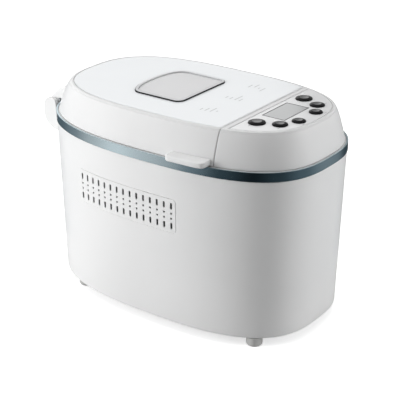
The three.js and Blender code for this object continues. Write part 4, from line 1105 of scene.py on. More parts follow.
    def feet(self) -> None:
        """Four turned rubber feet with a rounded tread and a ring groove underneath."""
        r, low = self.foot_radius, -self.shop.foot
        profile = rounded([[0, low + 0.8], [3.2, low + 0.8], [3.6, low], [r - 1.6, low], [r, low + 1.8],
                           [r - 0.3, -0.3],
                           [6.5, -0.3], [6.5, 0.3], [1.8, 0.3], [1.8, 13], [0, 13]],
                          [0, 0.2, 0.3, 1.2, 1.2, 0.3, 0.1, 0.1, 0.1, 0.3, 0], 5)
        for node in ("foot_front_left", "foot_front_right", "foot_rear_left", "foot_rear_right"):
            low_corner, high_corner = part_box(node)
            middle = (low_corner + high_corner) / 2 / MM
            centre = (middle.x - self.shop.shift, middle.y, 0.0)
            self.shop.piece("rubber_" + node, [turned(profile, centre, "z", 56)], "housing", "foot_rubber",
                            "pale_foot_rubber", [node])


@dataclass
class TrimBand:
    """The polished metal band between the body and the lid."""

    shop: Workshop
    outline: Outlines
    thickness: float = 2.0
    edge: float = 0.25

    def build(self) -> None:
        """A closed strip: bottom edge, straight face, top edge and back."""
        out, e = self.outline, self.edge
        low, high = out.height, out.band_top
        face = np.linspace(0, 1, 7)
        loops = [out.band(low, e), out.band(low + 0.15 * e, 0.15 * e)]
        loops += [out.band(low + e + (high - low - 2 * e) * t, 0.0) for t in face]
        loops += [out.band(high - 0.15 * e, 0.15 * e), out.band(high, e), out.band(high, self.thickness),
                  out.band(low, self.thickness)]
        self.shop.piece("steel_trim_band", [stacked(loops, closed=True)], "housing", "trim_metal", "blue_steel",
                        ["trim_band"], sharp=60)


@dataclass
class Deck:
    """The moulded deck under the lid, with the oven's mouth in it."""

    shop: Workshop
    outline: Outlines
    thickness: float = 2.5
    drop: float = 5.1
    oven_x: float = -35.0

    def build(self) -> None:
        """Skirt, step and plate as one closed skin, from the outer skirt in to the mouth and back."""
        out, inner, gap, back = self.outline, 6.0, 0.3, 2.0
        top = out.band_top - self.drop
        mouth = lambda z: self._mouth(out.band(z, inner + 3), z)
        skirt = out.height - 12.0
        loops = [out.body(skirt, 2.8), out.body(out.height - gap, 2.8), out.band(out.height + gap, back + gap),
                 out.band(out.band_top - gap - 0.4, back + gap), out.band(out.band_top - gap, back + gap + 0.4),
                 out.band(out.band_top - gap, inner - 0.4), out.band(out.band_top - gap - 0.4, inner),
                 out.band(top + 0.5, inner), out.band(top, inner + 0.5), out.band(top, inner + 3),
                 mouth(top), mouth(top - self.thickness), out.band(top - self.thickness, inner + 3),
                 out.band(skirt, inner + 2.5)]
        self.shop.piece("lid_deck", [stacked(loops, closed=True)], "housing", "body_white", "white_moulding",
                        ["top_deck"])

    def _mouth(self, outer: Points, z: float) -> Points:
        """The mouth's rounded rectangle, seen from its middle in the outer loop's directions.

        Args:
            outer: the loop whose directions are used.
            z: the height.

        Returns:
            The loop, point for point with the outer one.
        """
        fine = resampled(tray_loop(self.oven_x, 123.3, 75.3, 45.0, 0.0, 60)[:, :2], 4000)
        return seen_from(np.array([self.oven_x, 0.0]), outer, fine, z)


@dataclass
class Oven:
    """The sheet-metal oven with its element, probe and pan clip."""

    shop: Workshop
    x: float = -35.0
    half_length: float = 122.0
    half_width: float = 74.0
    corner: float = 44.0
    floor: float = 42.0
    rim: float = 207.8
    sheet: float = 1.0
    flange: float = 8.0
    element_z: float = 54.0
    element_radius: float = 3.25
    element_gap: float = 7.55
    ends: float = 9.0

    def _loop(self, grow: float, z: float) -> Points:
        """The oven's inner outline, grown by a margin."""
        return tray_loop(self.x, self.half_length + grow, self.half_width + grow, self.corner + grow, z, 24)

    def build(self) -> None:
        """Builds the tub and element, and dresses the small parts kept from the frame."""
        self.tub()
        self.element()
        self.probe()
        self.shop.dress("bright_steel", "pan_clip")
        self.shop.dress("fired_ceramic", "element_terminal_block")
        self.shop.dress("zinc_plate", "heat_shield")

    def tub(self) -> None:
        """The tub: bent floor edge, wall, rolled flange, and the same again inside, one sheet thick."""
        s, f, r = self.sheet, self.flange, 4.0
        bend = np.linspace(0, np.pi / 2, 6)
        outside = [self._loop(s - r * (1 - math.sin(a)), self.floor + r * (1 - math.cos(a))) for a in bend]
        inside = [self._loop(-(r - s) * (1 - math.sin(a)), self.floor + s + (r - s) * (1 - math.cos(a)))
                  for a in bend]
        bead = [self._loop(0.0, z) for z in (self.rim - 10, self.rim - 3)]
        loops = [*outside, self._loop(s, self.rim - 1.5), self._loop(s + 0.3, self.rim), self._loop(s + f, self.rim),
                 self._loop(s + f + 0.1, self.rim + 0.5 * s), self._loop(s + f, self.rim + s),
                 self._loop(1.2, self.rim + s), self._loop(0.3, self.rim + 0.7 * s), self._loop(0, self.rim - 0.6),
                 *bead[::-1], self._loop(0.0, 160.0), self._loop(0.0, 110.0), *inside[::-1]]
        tub = self.shop.raw("oven_tub", [stacked(loops)])
        wall = self.x + self.half_length
        bores = [plug(10, -5.0, 5.0, (self.x + d, 0, self.floor), "z", 40)
                 for d in (-55, 55)]
        bores += [plug(5.5, -6.0, 6.0, (wall, y, self.element_z), "x", 28)
                  for y in (-self.ends, self.ends)]
        bores.append(plug(3.2, -8.0, 8.0, (wall - 67.0, self.half_width, 120.0), "y", 28))
        for bore in bores:
            self.shop.combine(tub, [bore], "DIFFERENCE")
        self.shop.finish(tub, "housing", "sheet_aluminium", "oven_sheet", ["oven_cavity"])

    def element(self) -> None:
        """The tubular element: a bar bent round the pan, both ends out through the front wall."""
        a, b = self.half_length - self.element_gap, self.half_width - self.element_gap
        end = self.x + self.half_length + 11
        front, rear = self.x + a, self.x - a
        points = [[end, -self.ends], [front, -self.ends], [front, -b], [rear, -b], [rear, b], [front, b],
                  [front, self.ends], [end, self.ends]]
        bend = (self.corner - self.element_gap) * 1.17
        path = rounded(points, [0, 5, bend, bend, bend, bend, 5, 0], 14)
        line = np.column_stack([resampled(path, 260, closed=False), np.full(260, self.element_z)])
        tube = swept(line, (0, 0, 1), self.element_radius)
        self.shop.piece("heater_tube", [tube], "housing", "element_steel", "heater_sheath", ["heating_element"])

    def probe(self) -> None:
        """The temperature sensor: a domed rod with a flange inside the wall and a nut outside."""
        y = self.half_width
        profile = rounded([[0, y - 10], [2.5, y - 10], [2.5, y - 2.4], [6, y - 2.4], [6, y - 0.3], [2.8, y - 0.3],
                           [2.8, y + 1.3], [5, y + 1.3], [5, y + 5], [2.5, y + 5], [2.5, y + 12], [0, y + 12]],
                          [0, 1.8, 0.2, 0.6, 0.1, 0.1, 0.1, 0.3, 0.4, 0.1, 0.4, 0], 5)
        rod = turned(profile, (self.x + self.half_length - 67.0, 0, 120.0), "y", 32)
        self.shop.piece("probe", [rod], "housing", "steel", "bright_steel", ["temperature_probe"])


@dataclass
class BreadPan:
    """The lift-out pan with its bail handle, bushes, spindles and kneading paddles."""

    shop: Workshop
    x: float = -35.0
    half_length: float = 108.0
    half_width: float = 59.0
    corner: float = 28.0
    draft: float = 5.0
    floor: float = 62.0
    rim: float = 178.0
    lip: float = 4.0
    sheet: float = 1.6
    pivot: float = 184.0
    bail: float = 2.3
    reach: float = 50.0
    spacing: float = 110.0
    paddle: float = 40.0
    paddle_height: float = 34.0

    def build(self) -> None:
        """Builds the pan, handle and both kneading sets."""
        self.tub()
        self.handle()
        for index, x in enumerate((self.x + self.spacing / 2, self.x - self.spacing / 2), start=1):
            self.bush(index, x)
            self.spindle(index, x)
            self.kneader(index, x)

    def _loop(self, z: float, grow: float, level: float | None = None) -> Points:
        """The pan's outline at a height: it narrows by the draft down to the floor.

        Args:
            z: the height whose outline is used.
            grow: how far it is moved out.
            level: the height the loop is put at, if not z.

        Returns:
            The loop.
        """
        change = grow - self.draft * (self.rim - z) / (self.rim - self.floor)
        return tray_loop(self.x, self.half_length + change, self.half_width + change, self.corner + change,
                         z if level is None else level, 20)

    def tub(self) -> None:
        """Floor, bent edge, ribbed wall and rolled lip outside, and the same inside, one wall thick.

        Two shallow ribs run round the wall: the outline moves in by a cosine hump at each.
        """
        bend = np.linspace(0, np.pi / 2, 7)
        swell = lambda d: 0.4 * (1 + np.cos(np.clip(d / 4.0, -1, 1) * np.pi))
        rib = lambda z: sum(swell(z - at) for at in (112, 128))
        heights = np.linspace(self.floor + 5, self.rim - 6, 46)
        outside = [self._loop(self.floor, -5 * (1 - math.sin(a)), self.floor + 5 * (1 - math.cos(a)))
                   for a in bend]
        outside += [self._loop(z, -rib(z)) for z in heights]
        curl = np.linspace(0, np.pi, 9)
        r = 1.2
        lip = [self._loop(self.rim - 2 * r, 0.0), self._loop(self.rim - 2 * r, 1.6)]
        lip += [self._loop(self.rim, self.lip - r + r * math.sin(a), self.rim - r - r * math.cos(a))
                for a in curl]
        lip += [self._loop(self.rim, -self.sheet + 1.2), self._loop(self.rim, -self.sheet, self.rim - 1.2)]
        inside = [self._loop(z, -self.sheet - rib(z)) for z in heights[::-1]]
        inside += [self._loop(self.floor, -self.sheet - 4 * (1 - math.sin(a)),
                              self.floor + self.sheet + 4 * (1 - math.cos(a))) for a in bend[::-1]]
        pan = self.shop.raw("pan_tub", [stacked([*outside, *lip, *inside])])
        for side in (-1, 1):
            at = self.x + side * (self.half_length + 2)
            ear = rounded([[-8, self.rim - 1], [8, self.rim - 1], [6.5, self.pivot + 6], [-6.5, self.pivot + 6]],
                          [0.5, 0.5, 5, 5], 8, closed=True)
            self.shop.combine(pan, [extruded(ear, "x", at - 1, at + 1, 0.3)], "UNION")
            hole = plug(3, -4.0, 4.0, (at, 0, self.pivot), "x", 28)
            self.shop.combine(pan, [hole], "DIFFERENCE")
        for side in (-1, 1):
            bore = plug(7.3, -6.0, 6.0, (self.x + side * self.spacing / 2, 0, self.floor), "z", 36)
            self.shop.combine(pan, [bore], "DIFFERENCE")
        self.shop.finish(pan, "pan", "non_stick", "pan_coat", ["bread_pan"])

    def handle(self) -> None:
        """The wire bail, folded over to the right, with hooked ends through the ears."""
        arm, tip = self.half_length - 4, self.half_length + 6
        points = [[self.x - tip, 0], [self.x - arm, 0], [self.x - arm, self.reach], [self.x + arm, self.reach],
                  [self.x + arm, 0], [self.x + tip, 0]]
        path = rounded(points, [0, 4.5, 12, 12, 4.5, 0], 12)
        line = np.column_stack([resampled(path, 200, closed=False), np.full(200, self.pivot)])
        self.shop.piece("bail", [swept(line, (0, 0, 1), self.bail)], "pan_bail", "steel", "bright_steel",
                        ["pan_handle"])

    def bush(self, index: int, x: float) -> None:
        """The flanged bush in the pan's floor, a ring about the spindle.

        Args:
            index: 1 or 2, counted from the front.
            x: where it stands.
        """
        low, high = self.floor - 0.3, self.floor + self.sheet + 0.3
        profile = rounded([[4.3, low - 3], [12, low - 3], [12, low], [7, low], [7, high], [11, high],
                           [10, high + 4], [4.3, high + 4]], 0.5, 4, closed=True)
        self.shop.piece(f"floor_bush_{index}", [turned(profile, (x, 0, 0), "z", 40, closed=True)], "pan", "steel",
                        "bright_steel", [f"pan_bush_{index}"])

    def spindle(self, index: int, x: float) -> None:
        """The spindle: a turned rod with a hub and a cross wing below the pan.

        Args:
            index: 1 or 2, counted from the front.
            x: where it stands.
        """
        top = self.floor + 29
        wing_top = self.floor - 4.3
        wing_low = wing_top - 6.5
        profile = rounded([[0, wing_low], [5.5, wing_low], [5.5, wing_top], [4, wing_top], [4, top], [0, top]],
                          [0, 0.5, 0.3, 0.2, 1.0, 0], 4)
        rod = self.shop.raw(f"spindle_{index}", [turned(profile, (x, 0, 0), "z", 36)])
        wing = rounded([[x - 2, -11], [x + 2, -11], [x + 2, 11], [x - 2, 11]], 0.8, 4, closed=True)
        self.shop.combine(rod, [extruded(wing, "z", wing_low + 0.35, wing_top - 0.6, 0.4)], "UNION")
        self.shop.finish(rod, f"paddle_{index}", "steel", "bright_steel", [f"pan_spindle_{index}"])

    def kneader(self, index: int, x: float) -> None:
        """The paddle: a tapered hub over the spindle and one swept blade.

        Across, the blade is a flattened oval whose thickness thins towards the tip and the crown;
        its height follows a sine over the reach, falling off to the tip.

        Args:
            index: 1 or 2, counted from the front.
            x: where its spindle stands.
        """
        low, bore_top = self.floor + self.sheet + 4.6, self.floor + 29.3
        top = bore_top + 2.5
        profile = rounded([[0, low], [9, low], [7.5, top], [0, top]], [0, 0.8, 1.8, 0], 6)
        hub = self.shop.raw(f"kneading_blade_{index}", [turned(profile, (x, 0, 0), "z", 48)])
        u = np.concatenate([np.linspace(0, 0.9, 26), 0.9 + 0.1 * np.sin(np.linspace(0, np.pi / 2, 9))[1:]])
        crown = 0.62 + 0.38 * np.sin(np.clip(u / 0.62, 0, 1) * np.pi / 2)
        fall = np.sqrt(np.clip(1 - (np.clip(u - 0.62, 0, 1) / 0.38) ** 2.6, 0, 1))
        high = self.paddle_height * crown * np.clip(fall, 0.12, 1)
        thick = 2.45 * (1 - 0.35 * u) * np.sqrt(np.clip(1 - np.clip((u - 0.9) / 0.1, 0, 1) ** 2, 0.03, 1))
        angle = np.linspace(0, 2 * np.pi, 40, endpoint=False)
        c, s = np.cos(angle), np.sin(angle)
        y = thick[:, None] * np.sign(c) * np.abs(c) ** 0.55 * (1 - 0.35 * np.clip(s, 0, 1))
        z = low + high[:, None] * (0.5 + 0.5 * np.sign(s) * np.abs(s) ** 0.55)
        px = np.broadcast_to((x + 1 + (self.paddle - 1) * u)[:, None], y.shape)
        self.shop.combine(hub, [stacked(list(np.stack([px, y, z], axis=-1)))], "UNION")
        bore = plug(4.3, low - 2, bore_top, (x, 0, 0), "z", 36)
        self.shop.combine(hub, [bore], "DIFFERENCE")
        self.shop.finish(hub, f"paddle_{index}", "non_stick", "paddle_coat", [f"kneading_paddle_{index}"])


@dataclass
class Drive:
    """The motor, pulleys, belts, bearings and boards, kept from the frame with real finishes."""

    shop: Workshop

    def build(self) -> None:
        """Dresses the drive's nodes."""
        self.shop.dress("bright_steel", "drive_shaft_1", "drive_shaft_2", "motor_pulley", "hinge_pin")
        self.shop.dress("zinc_plate", "drive_frame", "shaft_bearing_1", "shaft_bearing_2")
        self.shop.dress("pulley_moulding", "drive_pulley_1", "drive_pulley_2")
        self.shop.dress("ribbed_belt_rubber", "motor_belt", "transfer_belt")
        self.shop.dress("motor_can", "motor")
        self.shop.dress("circuit_board", "power_board", "control_board")


@dataclass(frozen=True)
class ButtonPlace:
    """One push button's name, place and base radius."""

    name: str
    x: float
    y: float
    radius: float


@dataclass
class ControlHead:
    """The fixed head with its panel, display and buttons."""

    shop: Workshop
    outline: Outlines
    seam: float = 100.1
    wall: float = 2.5
    rim: float = 3.5
    shoulder: float = 2.5
    recess: float = 1.5
    groove: tuple[tuple[float, float], ...] = ((0.15, 0.3), (0.45, 0.95), (0.75, 0.95), (0.95, 0.45))
    panel_edge: float = 106.5
    display: tuple[float, float, float] = (128.15, 14.75, 25.8)
    stand_out: float = 2.2
    buttons: tuple[ButtonPlace, ...] = (
        ButtonPlace("button_menu", 121.9, -50, 10), ButtonPlace("button_up", 146.2, -39.9, 8.9),
        ButtonPlace("button_down", 157.3, -18.3, 8), ButtonPlace("button_size", 157.3, 18.3, 8),
        ButtonPlace("button_crust", 146.2, 39.9, 8.9), ButtonPlace("button_start", 121.9, 50, 10))

    def build(self) -> None:
        """Builds the head from the shell up."""
        self.shell()
        self.panel()
        self.screen()
        for place in self.buttons:
            self.button(place)
        self.prints()

    def _holes(self, grow: float) -> list[Patch]:
        """Cutters for the buttons' holes.

        Args:
            grow: the clearance round each button.

        Returns:
            The cutters.
        """
        top = self.outline.top
        return [plug(b.radius + grow, top - 12, top + 4, (b.x, b.y, 0), "z", 56) for b in self.buttons]

    def _display_box(self, grow: float, low: float, high: float) -> Patch:
        """A box over the display, grown by a margin."""
        x, half, side = self.display
        return block((x - half - grow, x + half + grow), (-side - grow, side + grow), (low, high))

    def shell(self) -> None:
        """The head's wall, shoulder, rim and sunk top outside, and wall and ceiling inside."""
        out, top = self.outline, self.outline.top
        low, floor, ceiling = out.head_bottom, out.top - self.recess, out.top - 4.0
        loop = lambda z, inset, seam, level=None: out.head(z, inset, seam, End.FRONT, level)
        arc = np.linspace(0, np.pi / 2, 8)
        loops = [loop(top, self.rim, self.panel_edge - 0.3, floor),
                 loop(top, self.rim, self.panel_edge - 0.3, top - 0.3),
                 loop(top, self.rim - 0.3, self.panel_edge - 0.6, top)]
        bead = self.shoulder - self.groove[-1][0]
        first = self.groove[-1][1]
        loops += [loop(top - bead + bead * math.sin(a), first + bead * (1 - math.cos(a)),
                       self.seam + 0.7 * (1 - math.cos(a))) for a in arc[::-1]]
        loops += [loop(top - self.shoulder + rise, inset, self.seam) for rise, inset in self.groove[::-1]]
        loops += [loop(z, 0.0, self.seam) for z in np.linspace(top - self.shoulder, low + 0.5, 12)[1:]]
        loops += [loop(low + 0.15, 0.15, self.seam + 0.15), loop(low, 0.5, self.seam + 0.5),
                  loop(low, self.wall, self.seam + self.wall)]
        loops += [loop(z, self.wall, self.seam + self.wall) for z in np.linspace(low, ceiling, 6)[1:]]
        head = self.shop.raw("control_head_shell", [stacked(loops)])
        for hole in [*self._holes(0.4), self._display_box(-2.0, ceiling - 4, top + 3)]:
            self.shop.combine(head, [hole], "DIFFERENCE")
        # the head takes the darker copy of the white moulding: painted shade
        self.shop.finish(head, "housing", "body_white", "shaded_white_moulding", ["control_head"])

    def panel(self) -> None:
        """The inset panel: a thin plate with small round edges, cut for the display and buttons."""
        out, top = self.outline, self.outline.top - 0.1
        low = top - 1.1
        edge = self.rim + 0.75
        side = self.panel_edge + 1.0
        loop = lambda inset, level: out.head(out.top, edge + inset, side + inset, End.FRONT, level)
        levels = ((0, low), (0, top - 0.25), (0.08, top - 0.08), (0.25, top))
        plate = self.shop.raw("control_panel", [stacked([loop(*level) for level in levels])])
        for hole in [*self._holes(0.4), self._display_box(0.0, low - 3, top + 3)]:
            self.shop.combine(plate, [hole], "DIFFERENCE")
        self.shop.finish(plate, "housing", "panel_silver", "control_panel_lacquer", ["control_overlay"])

    def screen(self) -> None:
        """The display lens with its printed border, and the module behind it."""
        x, half, side = self.display
        top = self.outline.top - 0.1
        ring = lambda grow, z: tray_loop(x, half - 0.3 + grow, side - 0.3 + grow, 0.6, z, 5)
        lens = stacked([ring(0, top - 1.1), ring(0, top - 0.15), ring(-0.15, top)])
        self.shop.piece("display_window", [lens], "housing", "display_lens", "grey_display_lens", ["lcd_lens"])
        border = ((1.1, top - 0.03), (1.1, top + 0.1), (-0.2, top + 0.1), (-0.2, top - 0.03))
        self.shop.piece("display_edge", [stacked([ring(*at) for at in border], closed=True)],
                        "housing", "display_grey", "display_border")
        self.shop.dress("grey_display_lens", "lcd_module")

    def button(self, place: ButtonPlace) -> None:
        """A push button: stem and flange below, sloped skirt, soft shoulder and a dished face.

        The face sinks by a parabola of the radius, deepest in the middle.

        Args:
            place: the button's name, middle and radius.
        """
        top, r = self.outline.top, place.radius
        crown, face = top + self.stand_out, 0.64 * place.radius
        flange = top - 4.0 - 0.6
        dish = np.linspace(1, 0, 8)[:, None]
        bowl = np.hstack([dish * (face - 0.9), crown - 0.35 * (1 - dish**2)])
        lower = rounded([[0, top - 6.7], [2.5, top - 6.7], [2.5, flange - 1.2], [r + 1.2, flange - 1.2],
                         [r + 1.2, flange], [r, flange], [r, top + 1.1], [face, crown], [face - 0.9, crown]],
                        [0, 0.4, 0.4, 0.3, 0.3, 0.2, 0.5, 0.6, 0.0], 6)
        skin = turned(np.vstack([lower, bowl]), (place.x, place.y, 0), "z", 64)
        cap = self.shop.raw("cap_" + place.name, [skin])
        cap.data.materials.append(self.shop.material("gloss_black_cap"))
        cap.data.materials.append(self.shop.material("satin_black_face"))
        centres = np.empty(len(cap.data.polygons) * 3)
        cap.data.polygons.foreach_get("center", centres)
        at = centres.reshape(-1, 3) - (place.x, place.y, crown)
        on_face = (np.hypot(at[:, 0], at[:, 1]) < face - 0.7) & (at[:, 2] > -1.0)
        cap.data.polygons.foreach_set("material_index", on_face.astype(np.int32))
        self.shop.finish(cap, place.name + "_cap", "button_black", "gloss_black_cap", [place.name])

    def prints(self) -> None:
        """A small plain dash printed outboard of each button."""
        top, patches = self.outline.top - 0.1, []
        middle = np.array([self.display[0], 0.0])
        for b in self.buttons:
            out = np.array([b.x, b.y]) - middle
            out /= np.linalg.norm(out)
            centre = np.array([b.x, b.y]) + out * (b.radius + 3.4)
            loop = tray_loop(0.0, 0.45, 2.2, 0.4, 0.0, 5)[:, :2]
            flat = loop[:, :1] * (1, 0) + loop[:, 1:] * (0, 1) + centre
            patches.append(extruded(flat, "z", top - 0.05, top + 0.04))
        self.shop.piece("panel_prints", patches, "housing", "panel_silver", "printed_grey")


@dataclass
class Lid:
    """The lid: shell, inset panel, window, liner, lift tabs and hinge arm."""

    shop: Workshop
    outline: Outlines
    window: WindowOutline
    seam: float = 99.5
    wall: float = 2.5
    rim: float = 3.5
    shoulder: float = 2.5
    recess: float = 1.5
    groove: tuple[tuple[float, float], ...] = ((0.15, 0.3), (0.45, 0.95), (0.75, 0.95), (0.95, 0.45))
    liner_low: float = 215.2
    liner_roof: float = 238.5
    oven: tuple[float, float, float, float] = (-35.0, 122.0, 74.0, 44.0)
    tab: tuple[float, float, float, float] = (45.0, 96.5, 122.6, 7.4)
    dashes: tuple[tuple[float, float, float], ...] = (
        (45.2, -50.0, 6.5), (51.5, -47.6, 10.0), (58.2, -44.6, 13.7), (64.4, -45.7, 3.6),
        (45.2, 1.3, 6.0), (51.5, 1.2, 7.7), (58.2, 6.8, 17.0), (64.4, 2.1, 8.8),
        (45.2, 50.6, 10.2), (51.5, 55.8, 11.2), (58.2, 50.2, 4.0), (64.4, 48.2, 13.0))
    hinge: tuple[float, float] = (-200.0, 202.0)
    barrel: float = 8.5
    arm_half: float = 33.5

    def build(self) -> None:
        """Builds the lid from the shell in."""
        self.shell()
        self.panel()
        self.marks()
        self.seal()
        self.glass()
        self.liner()
        for side in (-1, 1):
            self.lift_tab(side)
        self.hinge_arm()

    def _loop(self, z: float, inset: float, seam: float, level: float | None = None) -> Points:
        """The lid's outline, cut at the seam."""
        return self.outline.head(z, inset, seam, End.REAR, level)

    def shell(self) -> None:
        """Outer wall, shoulder, rim, sunk top, window opening, ceiling and inner wall, one closed skin."""
        top, low = self.outline.top, self.outline.head_bottom
        floor, ceiling = top - self.recess, top - 4.0
        arc = np.linspace(0, np.pi / 2, 8)
        loops = [self._loop(low, self.wall, self.seam - self.wall), self._loop(low, 0.5, self.seam - 0.5),
                 self._loop(low + 0.15, 0.15, self.seam - 0.15)]
        loops += [self._loop(z, 0.0, self.seam) for z in np.linspace(low + 0.5, top - self.shoulder, 12)]
        loops += [self._loop(top - self.shoulder + rise, inset, self.seam) for rise, inset in self.groove]
        bead = self.shoulder - self.groove[-1][0]
        first = self.groove[-1][1]
        loops += [self._loop(top - bead + bead * math.sin(a), first + bead * (1 - math.cos(a)),
                             self.seam - 0.7 * (1 - math.cos(a))) for a in arc[1:]]
        edge = self._loop(top, self.rim, self.seam - 1.5, floor)
        loops += [self._loop(top, self.rim - 0.3, self.seam - 1.2, top),
                  self._loop(top, self.rim, self.seam - 1.5, top - 0.3), edge]
        hole = self.window.facing(edge, 0.3, floor)
        loops += [edge + (hole - edge) * f for f in (0.5,)]
        loops += [hole, raised(hole, ceiling)]
        inner = self._loop(ceiling, self.wall, self.seam - self.wall)
        loops += [raised(hole, ceiling) + (inner - raised(hole, ceiling)) * 0.5, inner]
        loops += [self._loop(z, self.wall, self.seam - self.wall) for z in np.linspace(ceiling, low, 6)[1:-1]]
        # the lid takes the darker copy of the white moulding: painted shade
        self.shop.piece("lid_moulding", [stacked(loops, closed=True)], "lid", "body_white", "shaded_white_moulding",
                        ["lid_shell"])

    def panel(self) -> None:
        """The inset panel: a thin plate with small round edges about the window."""
        top = self.outline.top - 0.1
        low, edge, seam = top - 1.1, self.rim + 0.75, self.seam - 2.05
        loop = lambda inset, level: self._loop(self.outline.top, edge + inset, seam - inset, level)
        outer = [loop(0, low), loop(0, top - 0.25), loop(0.08, top - 0.08), loop(0.25, top)]
        hole = self.window.facing(outer[-1], 0.3, top)
        inner = [outer[-1] + (hole - outer[-1]) * f for f in (0.25, 0.5, 0.75)]
        inner += [hole, raised(hole, low)]
        self.shop.piece("lid_inset_panel", [stacked([*outer, *inner], closed=True)], "lid", "lid_panel",
                        "lid_panel_lacquer", ["lid_top_panel"])

    def marks(self) -> None:
        """Three groups of four plain staggered dashes printed on the panel."""
        top, patches = self.outline.top - 0.1, []
        for column, middle, length in self.dashes:
            loop = tray_loop(column, 0.5, length / 2, 0.4, 0.0, 5)[:, :2]
            patches.append(extruded(loop + (0.0, middle), "z", top - 0.05, top + 0.03))
        self.shop.piece("lid_prints", patches, "lid", "lid_panel", "printed_grey")

    def seal(self) -> None:
        """The window's dark seal: a collar through the top with a ledge, and a light grey ring on it whose colour is
        a painted reflection of the bright room on the seal's rounded top.
        """
        top = self.outline.top
        flange = top - 4.3
        w = self.window.loop
        ledge = top + 1.0 - 0.6 - 2.9
        profile = [(0.0, flange), (0.0, top + 1.1), (-0.1, top + 1.3), (-0.3, top + 1.4), (-2.3, top + 1.4),
                   (-2.55, top + 1.3), (-2.6, top + 1.1), (-2.6, ledge), (-5.0, ledge), (-5.0, flange - 1.5),
                   (3.0, flange - 1.5), (3.0, flange)]
        self.shop.piece("window_seal", [stacked([w(g, z) for g, z in profile], closed=True)], "lid", "gasket_dark",
                        "dark_gloss_seal", ["window_gasket"])
        # a light grey ring on the seal: painted reflection
        ring = [(-0.5, top + 1.3), (-0.5, top + 1.5), (-0.75, top + 1.68), (-2.8, top + 1.68),
                (-3.05, top + 1.5), (-3.1, top + 1.3), (-3.1, top + 0.2), (-2.7, top + 0.2), (-2.7, top + 1.3)]
        self.shop.piece("seal_reflection_ring", [stacked([w(g, z) for g, z in ring], closed=True)], "lid", "gasket_dark",
                        "seal_reflection_grey")

    def glass(self) -> None:
        """The outer pane with a soft rim, slightly crowned, and the inner pane on its seal."""
        top = self.outline.top + 0.4
        w = self.window.loop
        loops = [w(-3.3, top - 2.6), w(-3.3, top - 0.3), w(-3.4, top - 0.1), w(-3.6, top)]
        centre = np.array([(self.window.rear + self.window.front) / 2, 0.0, top])
        loops += [centre + (loops[3] - centre) * f + (0, 0, 0.25 * (1 - f * f)) for f in (0.75, 0.5, 0.25)]
        self.shop.piece("window_pane", [stacked(loops)], "lid", "window_glass", "hazy_glass", ["window_glass"])
        self.shop.dress("clear_glass", "inner_glass")
        self.shop.dress("red_silicone", "inner_glass_seal")

    def liner(self) -> None:
        """The pressed liner: a flange, a bent step, a raised roof with a pane opening, one sheet thick."""
        x, a, b, r = self.oven
        low, roof, s = self.liner_low, self.liner_roof, 1.0
        edge = self._loop(low, self.wall + 0.5, self.seam - self.wall - 0.5, low)
        tray = lambda grow, z: self._tray(edge, grow, z)
        pane = lambda z: self._pane(edge, z)
        bend = np.linspace(0, np.pi / 2, 6)
        lower = [tray(2.0 * (1 - math.sin(t)), low + 2.0 * (1 - math.cos(t))) for t in bend]
        step = [tray(-5.0 * (1 - math.cos(t)), roof - 5.0 * (1 - math.sin(t))) for t in bend]
        upper = [tray(s - 6.0 * (1 - math.cos(t)), roof + s - 6.0 * (1 - math.sin(t))) for t in bend]
        outer = [tray(s + 1.0 * (1 - math.sin(t)), low + s + 1.0 * (1 - math.cos(t))) for t in bend]
        loops = [edge, edge + (0, 0, s), *outer, *upper, pane(roof + s), pane(roof), *step[::-1], *lower[::-1]]
        self.shop.piece("lid_inner_tray", [stacked(loops, closed=True)], "lid", "sheet_aluminium", "liner_sheet",
                        ["lid_liner"])

    def _tray(self, outer: Points, grow: float, z: float) -> Points:
        """The liner's raised outline at a height.

        Args:
            outer: the loop whose directions are used.
            grow: how far the tray is moved out.
            z: the height.

        Returns:
            The loop.
        """
        x, a, b, r = self.oven
        fine = resampled(tray_loop(x, a + grow, b + grow, r + grow, 0.0, 60)[:, :2], 4000)
        return seen_from(np.array([x, 0.0]), outer, fine, z)

    def _pane(self, outer: Points, z: float) -> Points:
        """The opening under the inner pane.

        Args:
            outer: the loop whose directions are used.
            z: the height.

        Returns:
            The loop.
        """
        x = (self.window.rear + self.window.front) / 2
        fine = resampled(tray_loop(x, 29.0, 36.0, 4.0, 0.0, 40)[:, :2], 4000)
        return seen_from(np.array([self.oven[0], 0.0]), outer, fine, z)

    def lift_tab(self, side: int) -> None:
        """A finger tab on one side: a soft bar that tapers to the front, fitted to the lid's wall.

        Args:
            side: -1 or 1.
        """
        first, last, reach, height = self.tab
        outline = rounded([[first, side * 90], [first, side * reach], [last - 12, side * (reach - 2.3)],
                           [last, side * (reach - 5)], [last, side * 90]], [6, 6, 8, 6, 6], 11, closed=True)
        low = self.outline.head_bottom + 0.2
        fine = resampled(outline, 130)
        name = "tab_left" if side < 0 else "tab_right"
        bar = self.shop.raw(name, [extruded(fine, "z", low, low + height, 2.2, 7)])
        loop = lambda z: self.outline.head(z, -0.3, 99.5, End.REAR)
        core = stacked([loop(z) for z in np.linspace(low - 6, low + height + 6, 6)])
        self.shop.combine(bar, [core], "DIFFERENCE")
        self.shop.finish(bar, "lid", "body_white", "white_moulding",
                         ["lift_tab_left" if side < 0 else "lift_tab_right"])

